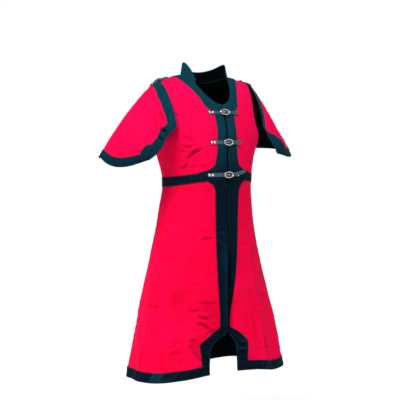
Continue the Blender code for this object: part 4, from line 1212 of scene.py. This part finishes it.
def leather_finish(name):
    """Smooth leather: pebbled grain and rubbed patches."""
    nodes = Nodes(name)
    spot = nodes.spot()
    grain = nodes.add("TexVoronoi", {"Vector": spot, "Scale": 900.0}, feature="SMOOTH_F1").outputs["Distance"]
    patch = nodes.noise(spot, 70.0, 4.0)
    colour = nodes.mix(patch, rgba(colours().leather, 0.6), rgba(colours().leather, 1.5))
    bump = nodes.add("Bump", {"Height": grain, "Strength": 0.35, "Distance": 0.0003}).outputs[0]
    rough = nodes.math("MULTIPLY_ADD", patch, 0.25, 0.34)
    nodes.set(Base_Color=colour, Roughness=rough, Specular_IOR_Level=0.5, Coat_Weight=0.15,
              Coat_Roughness=0.3, Normal=bump)
    return nodes.made


def metal_finish(name, colour, roughness):
    """Cast and polished metal: faint pits and smears that change its gloss."""
    nodes = Nodes(name)
    spot = nodes.spot()
    smear = nodes.noise(spot, 260.0, 4.0, 0.6)
    pit = nodes.noise(spot, 1500.0)
    shade = nodes.mix(smear, rgba(colour, 0.72), rgba(colour, 1.1))
    bump = nodes.add("Bump", {"Height": pit, "Strength": 0.25, "Distance": 0.00012}).outputs[0]
    rough = nodes.math("MULTIPLY_ADD", smear, 0.25, roughness)
    nodes.set(Base_Color=shade, Metallic=1.0, Roughness=rough, Normal=bump)
    return nodes.made


def steel_finish(name):
    return metal_finish(name, colours().steel, 0.14)


def brass_finish(name):
    return metal_finish(name, colours().brass, 0.20)


def thread_finish(name):
    nodes = Nodes(name)
    spot = nodes.spot()
    fibre = nodes.noise(spot, 2400.0)
    nodes.set(Base_Color=nodes.mix(fibre, rgba(colours().thread, 0.7), rgba(colours().thread, 1.6)),
              Roughness=0.6, Normal=nodes.add("Bump", {"Height": fibre, "Distance": 0.0001}).outputs[0])
    return nodes.made


FINISHES = {
    "red_cloth": red_cloth, "teal_cloth": teal_cloth, "lining": lining_cloth, "thread": thread_finish,
    "leather": leather_finish, "steel": steel_finish, "brass": brass_finish,
}


# Pieces

def two_sides(cuts, downs, columns):
    return [cut.surface(downs, columns) for cut in cuts]


def rows_through(cut, first, middle):
    """Rows from a knot to the last one with the middle knot among them, and that row's number."""
    rows = np.concatenate([cut.rows_between(first, middle)[:-1], [cut.knots[middle]],
                           cut.rows_between(middle, -1)[1:]])
    return rows, int(np.searchsorted(rows, cut.knots[middle]))


class GAMBESON_OT_bodice(bpy.types.Operator):
    """Fitted bodice: two fronts and a back, with the waistband, front bands and neck trim"""
    bl_idname = "gambeson.bodice"
    bl_label = "Bodice"

    def execute(self, context):
        for side, sign in SIDES.items():
            cut = bodice_cut(BODICE_FRONT, NECK_FRONT, side, sign, FRONT, FRONT_SLIT / 2)
            panel = padded_panel(f"bodice_front_{side}",
                                 [cut.surface(cut.rows_between(0, -1), shares(0.045, 0.20))],
                                 bound=[("start", 0, None)])
            trims = ((f"waistband_{side}", 0, WAISTBAND_ROW, shares(0.080, 0.16)),
                     (f"front_band_{side}", WAISTBAND_ROW, NECK_TRIM_FRONT_ROW, shares(0.045)),
                     (f"neck_trim_{side}", NECK_TRIM_FRONT_ROW, -1, shares(0.045)))
            for node, first, last, columns in trims:
                sewn_trim(node, [cut.surface(cut.rows_between(first, last), columns)])
            low, band, high = cut.knots[0], cut.knots[WAISTBAND_ROW], cut.knots[-1]
            every = np.linspace(0.02, 1.98, 90)
            for row in (low + THREAD_INSET, band - THREAD_INSET):
                thread_line(cut.surface, row, every)
            rows = np.linspace(band + 2 * THREAD_INSET, high - THREAD_ENDS, 120)
            for column in (0.93, 0.075):
                thread_line(cut.surface, rows, column)
        cuts = [bodice_cut(BODICE_BACK, NECK_BACK, "back", sign, BACK, 0.0) for sign in SIDES.values()]
        cut = cuts[0]
        cuts[1].knots = cut.knots
        rows, joined = rows_through(cut, 0, NECK_BACK_ROW)
        panel = padded_panel("bodice_back", two_sides(cuts, rows, shares(0.060, 0.17)), joined,
                             [("start", joined, None)])
        band = cut.rows_between(0, WAISTBAND_ROW)
        sewn_trim("waistband_back", two_sides(cuts, band, shares(0.070, 0.16)), len(band))
        rows, joined = rows_through(cut, NECK_TRIM_BACK_ROW, NECK_BACK_ROW)
        sewn_trim("neck_trim_back", two_sides(cuts, rows, shares(0.060)), joined)
        for cut in cuts:
            every = np.linspace(0.02, 1.98, 90)
            for row in (cut.knots[0] + THREAD_INSET, cut.knots[WAISTBAND_ROW] - THREAD_INSET):
                thread_line(cut.surface, row, every)
            lower = np.linspace(cut.knots[NECK_TRIM_BACK_ROW] + THREAD_ENDS, cut.knots[-1] - THREAD_ENDS, 60)
            thread_line(cut.surface, lower, 0.94)
        return {"FINISHED"}


class GAMBESON_OT_skirt(bpy.types.Operator):
    """Flared skirt: two fronts with an arched slit and a back, with their bands and hem trim"""
    bl_idname = "gambeson.skirt"
    bl_label = "Skirt"

    def execute(self, context):
        for side, sign in SIDES.items():
            cut = skirt_cut(SKIRT[f"edge_{side}"], SKIRT[f"trim_{side}"], sign, FRONT, FRONT_SLIT / 2)
            panel = padded_panel(f"skirt_front_{side}",
                                 [cut.surface(cut.rows_between(0, -1), shares(0.045, 0.30))],
                                 bound=[("start", 0, None), ("bottom", 0, None)])
            for node, first, last, columns in (("skirt_band", 0, HEM_TRIM_ROW, shares(0.050)),
                                               ("hem_trim", HEM_TRIM_ROW, -1, shares(0.050, 0.30))):
                sewn_trim(f"{node}_{side}", [cut.surface(cut.rows_between(first, last), columns)])
            rows = np.linspace(cut.knots[0] + THREAD_ENDS, cut.knots[HEM_TRIM_ROW] - THREAD_ENDS, 240)
            for column in (0.93, 0.08):
                thread_line(cut.surface, rows, column)
            every = np.linspace(0.03, 1.98, 150)
            for row in (cut.knots[HEM_TRIM_ROW] + THREAD_INSET, cut.knots[-1] - THREAD_INSET):
                thread_line(cut.surface, row, every)
        middle = np.zeros(len(SKIRT["down"]))
        cuts = [skirt_cut(middle, middle + BACK_TRIM, sign, BACK, 0.0) for sign in SIDES.values()]
        cut = cuts[0]
        cuts[1].knots = cut.knots
        rows = cut.rows_between(0, -1)
        panel = padded_panel("skirt_back", two_sides(cuts, rows, shares(0.070, 0.27)), len(rows),
                             [("bottom", 0, None)])
        rows = cut.rows_between(HEM_TRIM_ROW, -1)
        sewn_trim("hem_trim_back", two_sides(cuts, rows, shares(0.070, 0.27)), len(rows))
        for cut in cuts:
            every = np.linspace(0.0, 1.98, 150)
            for row in (cut.knots[HEM_TRIM_ROW] + THREAD_INSET, cut.knots[-1] - THREAD_INSET):
                thread_line(cut.surface, row, every)
        return {"FINISHED"}


class GAMBESON_OT_sleeves(bpy.types.Operator):
    """Short cap sleeves, open under the arm, with trims round all four edges"""
    bl_idname = "gambeson.sleeves"
    bl_label = "Sleeves"

    def execute(self, context):
        for side in SIDES:
            def surface(rows, columns):
                return sleeve_surface(side, rows, columns)

            rows, columns = shares(0.038, 0.22, 0.033), shares(0.038, 0.25, 0.036)
            over = shares(0.038), shares(0.22), shares(0.033)
            round_it = shares(0.038), shares(0.25), shares(0.036)
            panel = padded_panel(f"sleeve_{side}", [surface(rows, columns)],
                                 bound=[(edge, 0, None) for edge in ("start", "end", "top", "bottom")])
            trims = ((f"armhole_trim_{side}", over[0], columns),
                     (f"cuff_trim_{side}", over[2] + 2, columns),
                     (f"underarm_trim_front_{side}", over[1] + 1, round_it[0]),
                     (f"underarm_trim_back_{side}", over[1] + 1, round_it[2] + 2))
            for node, downs, across in trims:
                sewn_trim(node, [surface(drawn(downs), drawn(across))])
            every = np.linspace(0.09, 2.91, 110)
            inside = np.linspace(1.02, 1.98, 60)
            for row in (0.08, 0.92, 2.09, 2.91):
                thread_line(surface, row, every if row in (0.08, 2.91) else inside)
            down = np.linspace(0.09, 2.91, 90)
            for column, places in ((0.08, down), (0.92, inside), (2.08, inside), (2.92, down)):
                thread_line(surface, places, column)
        return {"FINISHED"}


def drawn(places):
    """Places with their two ends drawn in, so that neighbouring trims stay apart."""
    places = places.copy()
    places[0] += 0.004
    places[-1] -= 0.004
    return places


def neck_line():
    """The neck's edge, from the middle of the front over the left shoulder to the back."""
    edge = []
    for rows, neck, facing in ((BODICE_FRONT, NECK_FRONT, FRONT), (BODICE_BACK, NECK_BACK, BACK)):
        rises = rows["start"][rows["start"] >= neck["rise"][0]]
        line = [body_point(angle_at(float(blend(neck["rise"], neck["x"], rise)), rise, facing),
                           rise, facing) for rise in rises]
        edge += line if facing == FRONT else line[-2::-1]
    return np.array(edge)


class GAMBESON_OT_collar(bpy.types.Operator):
    """Low stand collar inside the neck's edge, run out to nothing at the front"""
    bl_idname = "gambeson.collar"
    bl_label = "Collar"

    def execute(self, context):
        half = neck_line()
        line = np.concatenate([half * (-1, 1, 1), half[::-1][1:]])
        away = np.degrees(np.arctan2(np.abs(line[:, 0]), -line[:, 1]))
        line = line[away >= COLLAR["angle"][0]]
        lengths = lengths_along(line, 0)
        where = spaced(lengths[-1])
        base = np.stack([through(lengths, line[:, axis], where) for axis in range(3)], -1)
        away = np.degrees(np.arctan2(np.abs(base[:, 0]), -base[:, 1]))
        height = blend(COLLAR["angle"], COLLAR["height"], away)
        lean = blend(COLLAR["angle"], COLLAR["lean"], away)
        inward = -base[:, :2] / np.linalg.norm(base[:, :2], axis=1, keepdims=True)
        share = spaced(COLLAR_HEIGHT) / COLLAR_HEIGHT
        rise = height[None] * share[:, None]
        grid = np.repeat(base[None], len(share), 0)
        wave = COLLAR_WAVE[0] * np.sin(where * COLLAR_WAVE[1]) * share[:, None]
        grid[..., :2] += inward[None] * (2 * SEAM + rise * lean[None] + wave)[..., None]
        grid[..., 2] += rise
        outward = np.repeat(np.concatenate([-inward, np.zeros((len(base), 1))], 1)[None], len(share), 0)
        finishes = (material("teal_cloth"), material("lining"), material("teal_cloth"))
        cloth_piece("collar", [(grid, outward, np.zeros(rise.shape))], 0.0, COLLAR_WALL, 0.0016, finishes,
                    "teal_cloth", bound=[("bottom", 0, None)])
        for inset in (0.12, 0.88):
            row = int(round(inset * (len(share) - 1)))
            stitch_line(grid[row, 2:-2], outward[row, 2:-2], 0.0)
        return {"FINISHED"}


def leather_strip(name, heights, xs, halves, lifts, thickness, node):
    """A strip of leather across the front: xs run along it and 13 points over its width.

    A point is the cloth's point at x and z, lifted along the normal, plus its share of the
    half width up the surface.
    """
    angle, rise = front_spot(xs, heights)
    points, normals = body_point(angle, rise, FRONT), body_normal(angle, rise, FRONT)
    upright = unit(np.array([0.0, 0.0, 1.0]) - normals * normals[:, 2:])
    over = np.concatenate([[-1.0, -0.95, -0.88, -0.76], np.linspace(-0.6, 0.6, 7), [0.76, 0.88, 0.95, 1.0]])
    grid = points[:, None] + upright[:, None] * (halves[:, None] * over)[..., None]
    crown = LEATHER_CROWN * (1 - over ** 2)
    lift = lifts[:, None] + thickness + crown
    out = np.repeat(normals[:, None], len(over), 1)
    outer, inner = shell_arrays(grid, out, lift, thickness + crown, 0.0009)
    mesh = shell_mesh(name, [(outer, inner, np.zeros(lift.shape))], (material("leather"),))
    return place(name, mesh, node, "leather"), grid + out * lift[..., None], out


def strap_halves(xs, start, tip, width, tip_length):
    """Half the strap's width along it, rounded at its start and over tip_length at its tip."""
    near = np.clip((start + ROUND_START - xs) / ROUND_START, 0, 1)
    far = np.clip((xs - (tip - tip_length)) / tip_length, 0, 1)
    return width / 2 * np.sqrt(np.clip(1 - near ** 2, 0.04, 1)) * np.sqrt(np.clip(1 - far ** 2, 0.02, 1))


def strap_places(start, tip, tip_length):
    """Places along a strap, close together at its two rounded ends."""
    ends = 1 - np.cos(np.linspace(0.0, math.pi / 2, 8))
    near = start + ROUND_START * ends
    far = tip - tip_length * ends[::-1]
    middle = np.linspace(near[-1], far[0], int((far[0] - near[-1]) / 0.0012))
    return np.concatenate([near[:-1], middle, far[1:]])


class GAMBESON_OT_straps(bpy.types.Operator):
    """Three leather straps across the front, and the tabs under their tips"""
    bl_idname = "gambeson.straps"
    bl_label = "Straps"

    def execute(self, context):
        base = 2 * SEAM + TRIM
        for index, z in enumerate(STRAPS["z"]):
            number = index + 1
            start, tip, tip_length = (STRAPS[name][index] for name in ("start", "tip", "tip_length"))
            xs = strap_places(start, tip, tip_length)
            lifts = base + blend(np.array([-0.016, 0.004]), np.array([0.0, TAB_LEATHER + SEAM]), xs)
            lifts += STRAP_HUMP * np.exp(-(xs / HUMP_LENGTH) ** 2)
            lifts += STRAPS["tip_rise"][index] * np.clip((xs - 0.03) / (tip - 0.03), 0, 1) ** 2
            turned = np.clip((xs - TURN_FROM) / (tip - TURN_FROM), 0, 1) ** 1.3
            heights = z + STRAPS["tip_turn"][index] * turned
            halves = strap_halves(xs, start, tip, STRAP_WIDTH, tip_length)
            _, top, out = leather_strip(f"cut_strap_{number}", heights, xs, halves, lifts,
                                        LEATHER - LEATHER_CROWN, f"strap_{number}")
            for column in (3, -4):
                stitch_line(top[9:-9, column], out[9:-9, column], 0.0)
            xs = strap_places(TAB_START, TAB_END, TAB_WIDTH / 2)
            halves = strap_halves(xs, -1.0, TAB_END, TAB_WIDTH, TAB_WIDTH / 2)
            leather_strip(f"cut_buckle_tab_{number}", np.full(len(xs), z), xs, halves,
                          np.full(len(xs), base), TAB_LEATHER - LEATHER_CROWN, f"buckle_tab_{number}")
        return {"FINISHED"}


def swept(points, radii, sides, closed, flat=1.0):
    """A tube along a line: circles of the given radii square to it, pressed by flat along Y."""
    points = np.array(points, float)
    ahead = np.roll(points, -1, axis=0) - np.roll(points, 1, axis=0)
    if not closed:
        ahead[0], ahead[-1] = points[1] - points[0], points[-1] - points[-2]
    ahead = unit(ahead)
    beside = unit(np.cross(ahead, (0.0, 1.0, 0.0)))
    other = np.cross(ahead, beside)
    turns = np.linspace(0.0, 2 * math.pi, sides, endpoint=False)
    ring = (np.cos(turns)[None, :, None] * beside[:, None]
            + flat * np.sin(turns)[None, :, None] * other[:, None])
    vertices = points[:, None] + ring * np.broadcast_to(radii, len(points))[:, None, None]
    count = len(points)
    index = np.arange(count * sides).reshape(count, sides)
    after = np.roll(index, -1, axis=0) if closed else index[1:]
    index = index if closed else index[:-1]
    faces = np.stack([index, np.roll(index, -1, 1), np.roll(after, -1, 1), after], -1).reshape(-1, 4).tolist()
    if not closed:
        faces += [list(range(sides))[::-1], [(count - 1) * sides + side for side in range(sides)]]
    return vertices.reshape(-1, 3), faces


def solid_mesh(name, parts, finish):
    """One mesh from (vertices, faces) parts, its faces turned outward."""
    work = bmesh.new()
    for vertices, faces in parts:
        corners = [work.verts.new(vertex) for vertex in np.asarray(vertices).tolist()]
        for face in faces:
            work.faces.new([corners[index] for index in face])
    bmesh.ops.recalc_face_normals(work, faces=work.faces)
    mesh = bpy.data.meshes.new(name)
    work.to_mesh(mesh)
    work.free()
    mesh.materials.append(material(finish))
    mesh.shade_smooth()
    mesh.set_sharp_from_angle(angle=math.radians(50))
    return mesh


def laid_on(spot, level):
    """The matrix that lays a piece modelled flat, its face to -Y, on the cloth at a level."""
    angle, rise = spot
    centre = body_point(angle, rise, FRONT).reshape(3)
    normal = body_normal(angle, rise, FRONT).reshape(3)
    lean = Matrix.Rotation(-math.atan2(normal[2], -normal[1]), 4, "X")
    return Matrix.Translation(Vector(centre + normal * level)) @ lean


class GAMBESON_OT_buckles(bpy.types.Operator):
    """Pointed oval buckle frames with a bar, and their prongs"""
    bl_idname = "gambeson.buckles"
    bl_label = "Buckles"

    def execute(self, context):
        across, up = BUCKLE_HALF
        turns = np.linspace(0.0, 2 * math.pi, 96, endpoint=False)
        ring = np.stack([across * signed_power(np.cos(turns), 2 / OVAL[0]), np.zeros(96),
                         up * signed_power(np.sin(turns), 2 / OVAL[1])], -1)
        frame_level = 3 * SEAM + TRIM + TAB_LEATHER + LEATHER + SEAM + BUCKLE_WIRE
        depth = frame_level - BAR_LEVEL
        bend = up - 0.0018
        share = np.linspace(-1.0, 1.0, 33)
        fall = depth * step(0.0, 1.0, (1 - np.abs(share)) / (1 - bend / up))
        bar = np.stack([np.zeros(33), fall, share * up], -1)
        away = np.linspace(0.0, 1.0, 25)
        reach = 0.002 - away * (across + 0.0036)
        rise = PRONG_RISE[0] + (PRONG_RISE[1] - PRONG_RISE[0]) * away
        prong = np.stack([reach, -rise, np.zeros(25)], -1)
        thin = PRONG_RADIUS * (1.25 - 0.45 * away) * np.sqrt(np.clip((1.02 - away) / 0.12, 0.05, 1.0))
        for index, z in enumerate(STRAPS["z"]):
            number = index + 1
            turn = laid_on(front_spot(0.0, z), frame_level)
            parts = [swept(ring, BUCKLE_WIRE, 18, True), swept(bar, BUCKLE_BAR, 12, False)]
            mesh = solid_mesh(f"buckle_{number}", parts, "steel")
            mesh.transform(turn)
            place(f"cast_buckle_frame_{number}", mesh, f"buckle_frame_{number}", "steel")
            mesh = solid_mesh(f"prong_{number}", [swept(prong, thin, 12, False)], "steel")
            mesh.transform(turn)
            place(f"forged_prong_{number}", mesh, f"prong_{number}", "steel")
        return {"FINISHED"}


def rivet_mesh(name, centre, normal, radius, height, finish):
    """A domed rivet head, turned from its profile: a low rim, a groove and the dome."""
    profile = np.array([(0.0, 0.0), (0.98, 0.0), (1.0, 0.10), (0.97, 0.20), (0.88, 0.22), (0.84, 0.20),
                        (0.80, 0.34), (0.68, 0.62), (0.50, 0.84), (0.28, 0.96), (0.10, 0.995)])
    sides = 28
    turns = np.linspace(0.0, 2 * math.pi, sides, endpoint=False)
    rings = profile[1:]
    vertices = np.stack([rings[:, :1] * np.cos(turns) * radius, rings[:, :1] * np.sin(turns) * radius,
                         np.broadcast_to(rings[:, 1:] * height, (len(rings), sides))], -1).reshape(-1, 3)
    index = np.arange(len(rings) * sides).reshape(len(rings), sides)
    faces = np.stack([index[:-1], np.roll(index[:-1], -1, 1), np.roll(index[1:], -1, 1), index[1:]],
                     -1).reshape(-1, 4).tolist()
    faces += [index[0][::-1].tolist(), index[-1].tolist()]
    mesh = solid_mesh(name, [(vertices, faces)], finish)
    turn = Vector(normal).to_track_quat("Z", "Y").to_matrix().to_4x4()
    mesh.transform(Matrix.Translation(Vector(centre)) @ turn)
    return mesh


class GAMBESON_OT_rivets(bpy.types.Operator):
    """Domed rivets of the straps, and one on the third tab"""
    bl_idname = "gambeson.rivets"
    bl_label = "Rivets"

    def execute(self, context):
        base = 2 * SEAM + TRIM
        heads = []
        for index, z in enumerate(STRAPS["z"]):
            for letter, inset in zip("ab", (RIVET_INSET, RIVET_INSET + RIVET_PITCH)):
                heads.append((f"rivet_{index + 1}{letter}", STRAPS["start"][index] + inset, z,
                              base + LEATHER + SEAM, RIVET_RADIUS, RIVET_HEIGHT))
        x, drop, radius, height = TAB_RIVET
        heads.append(("tab_rivet", x, STRAPS["z"][-1] + drop, base + TAB_LEATHER + SEAM, radius, height))
        for node, x, z, level, radius, height in heads:
            angle, rise = front_spot(x, z)
            normal = body_normal(angle, rise, FRONT).reshape(3)
            centre = body_point(angle, rise, FRONT).reshape(3) + normal * level
            mesh = rivet_mesh(node, centre, normal, radius, height, "steel")
            place(f"domed_{node}", mesh, node, "steel")
        return {"FINISHED"}


def ridge_across(x, sign, offsets):
    """Points and normals across the shoulder's ridge, at distances from it (front minus)."""
    angle = sign * angle_at(x, 2.0, FRONT)
    rises = np.linspace(2.0, 1.5, 61)
    points, normals = [], []
    for offset in offsets:
        facing = FRONT if offset < 0 else BACK
        lengths = lengths_along(body_point(np.full(61, angle), rises, facing), 0)
        rise = np.interp(abs(offset), lengths, rises)
        points.append(body_point(angle, rise, facing))
        normals.append(body_normal(angle, rise, facing))
    return np.array(points), np.array(normals)


def sleeve_across(side, distance, offsets):
    """The same across a sleeve's top line, at a distance from its armhole edge."""
    fine = np.linspace(0.0, 1.0, 121)
    along = np.interp(distance, lengths_along(sleeve_point(side, fine, np.zeros(121)), 0), fine)
    points, normals = [], []
    for offset in offsets:
        sweep = np.linspace(0.0, math.copysign(0.6, offset), 121)
        lengths = lengths_along(sleeve_point(side, np.full(121, along), sweep), 0)
        across = np.interp(abs(offset), lengths, sweep)
        points.append(sleeve_point(side, along, across))
        normals.append(sleeve_normal(side, along, across))
    return np.array(points), np.array(normals)


def refined(grid, parts):
    """A coarse grid of values made finer along its first axis, by smooth curves."""
    count = len(grid)
    where = np.linspace(0.0, count - 1.0, (count - 1) * parts + 1)
    flat = grid.reshape(count, -1)
    fine = np.stack([through(np.arange(count, dtype=float), flat[:, column], where)
                     for column in range(flat.shape[1])], -1)
    return fine.reshape(len(where), *grid.shape[1:])


class GAMBESON_OT_shoulder_tabs(bpy.types.Operator):
    """Leather tabs over the shoulders that carry the sleeves, with two brass studs each"""
    bl_idname = "gambeson.shoulder_tabs"
    bl_label = "Shoulder tabs"

    def execute(self, context):
        offsets = np.array([-1.0, -0.94, -0.8, -0.5, 0.0, 0.5, 0.8, 0.94, 1.0]) * SHOULDER_TAB_HALF
        for side, sign in SIDES.items():
            sections = [(*ridge_across(x, sign, offsets), lift) for x, lift in TAB_ON_BODY]
            sections += [(*sleeve_across(side, distance, offsets), lift) for distance, lift in TAB_ON_SLEEVE]
            points = refined(np.array([section[0] for section in sections]), 5)
            normals = unit(refined(np.array([section[1] for section in sections]), 5))
            lifts = refined(np.array([section[2] for section in sections]), 5)
            lift = np.repeat(lifts[:, None] + LEATHER, len(offsets), 1)
            outer, inner = shell_arrays(points, normals, lift, LEATHER, 0.0010)
            name = f"cut_shoulder_tab_{side}"
            mesh = shell_mesh(name, [(outer, inner, np.zeros(lift.shape))], (material("leather"),))
            place(name, mesh, f"shoulder_tab_{side}", "leather")
            top = points + normals * lift[..., None]
            for column in (2, -3):
                stitch_line(top[2:-2, column], normals[2:-2, column], 0.0)
            for letter, index in (("a", 1), ("b", -2)):
                spots, out, level = sections[index]
                centre = spots[4] + out[4] * (level + LEATHER + SEAM)
                node = f"shoulder_stud_{side}_{letter}"
                mesh = rivet_mesh(node, centre, out[4], STUD_RADIUS, STUD_HEIGHT, "brass")
                place(f"domed_{node}", mesh, node, "brass")
        return {"FINISHED"}


class GAMBESON_OT_stitches(bpy.types.Operator):
    """Sewing thread along the trims, the collar and the leather"""
    bl_idname = "gambeson.stitches"
    bl_label = "Stitches"

    def execute(self, context):
        place("sewn_thread", stitch_mesh(), None, "teal_cloth")
        return {"FINISHED"}


class GAMBESON_OT_stage(bpy.types.Operator):
    """Pale floor, soft studio light and the photograph's camera"""
    bl_idname = "gambeson.stage"
    bl_label = "Stage"

    def execute(self, context):
        scene = bpy.context.scene
        scene.view_settings.view_transform = "Standard"
        mesh = bpy.data.meshes.new("floor")
        mesh.from_pydata([(x * FLOOR_SPAN, y * FLOOR_SPAN, FLOOR_Z)
                          for x, y in ((-1, -1), (1, -1), (1, 1), (-1, 1))], [], [(0, 1, 2, 3)])
        nodes = Nodes("floor_finish")
        speckle = nodes.noise(nodes.spot(), 3.0)
        shade = nodes.mix(speckle, rgba(colours().floor, 0.98), rgba(colours().floor))
        nodes.set(Base_Color=shade, Roughness=0.9, Emission_Color=(1.0, 1.0, 1.0, 1.0),
                  Emission_Strength=FLOOR_GLOW)
        mesh.materials.append(nodes.made)
        floor = bpy.data.objects.new("floor", mesh)
        scene.collection.objects.link(floor)
        world = bpy.data.worlds.new("studio")
        scene.world = world
        world.use_nodes = True
        tree = world.node_tree
        background = tree.nodes["Background"]
        background.inputs["Color"].default_value = (1.0, 1.0, 1.0, 1.0)
        path = tree.nodes.new("ShaderNodeLightPath")
        shown = tree.nodes.new("ShaderNodeMapRange")
        shown.inputs["To Min"].default_value = SKY
        shown.inputs["To Max"].default_value = 1.0
        tree.links.new(path.outputs["Is Camera Ray"], shown.inputs["Value"])
        tree.links.new(shown.outputs[0], background.inputs["Strength"])
        lamp = bpy.data.lights.new("key", "SUN")
        lamp.energy, lamp.angle = KEY_POWER, math.radians(KEY_SPREAD)
        key = bpy.data.objects.new("key", lamp)
        key.rotation_euler = Vector(KEY_FROM).to_track_quat("Z", "Y").to_euler()
        scene.collection.objects.link(key)
        data = bpy.data.cameras.new("camera")
        data.sensor_width = SENSOR
        data.lens = CAMERA_LENS
        camera = bpy.data.objects.new("camera", data)
        right, up = Vector(CAMERA_RIGHT), Vector(CAMERA_UP)
        turn = Matrix((right, up, right.cross(up))).transposed()
        camera.matrix_world = Matrix.Translation(CAMERA_PLACE) @ turn.to_4x4()
        scene.collection.objects.link(camera)
        scene.camera = camera
        return {"FINISHED"}


class GAMBESON_PT_panel(bpy.types.Panel):
    """Lists the coat's pieces, sizes and colours"""
    bl_idname = "GAMBESON_PT_panel"
    bl_label = "Gambeson"
    bl_space_type = "VIEW_3D"
    bl_region_type = "UI"
    bl_category = "Gambeson"

    def draw(self, context):
        for operator in OPERATORS:
            self.layout.operator(operator.bl_idname)
        for group in (context.scene.gambeson_sizes, context.scene.gambeson_colours):
            box = self.layout.box()
            for name in group.__annotations__:
                box.prop(group, name)


OPERATORS = (
    GAMBESON_OT_bodice, GAMBESON_OT_skirt, GAMBESON_OT_sleeves, GAMBESON_OT_collar, GAMBESON_OT_straps,
    GAMBESON_OT_buckles, GAMBESON_OT_rivets, GAMBESON_OT_shoulder_tabs, GAMBESON_OT_stitches,
    GAMBESON_OT_stage,
)
CLASSES = (GambesonSizes, GambesonColours, *OPERATORS, GAMBESON_PT_panel)


def register():
    for kind in CLASSES:
        bpy.utils.register_class(kind)
    bpy.types.Scene.gambeson_sizes = PointerProperty(type=GambesonSizes)
    bpy.types.Scene.gambeson_colours = PointerProperty(type=GambesonColours)


def unregister():
    del bpy.types.Scene.gambeson_colours
    del bpy.types.Scene.gambeson_sizes
    for kind in reversed(CLASSES):
        bpy.utils.unregister_class(kind)


def main():
    register()
    bpy.ops.gambeson.bodice()
    bpy.ops.gambeson.skirt()
    bpy.ops.gambeson.sleeves()
    bpy.ops.gambeson.collar()
    bpy.ops.gambeson.straps()
    bpy.ops.gambeson.buckles()
    bpy.ops.gambeson.rivets()
    bpy.ops.gambeson.shoulder_tabs()
    bpy.ops.gambeson.stitches()
    bpy.ops.gambeson.stage()


if __name__ == "__main__":
    main()
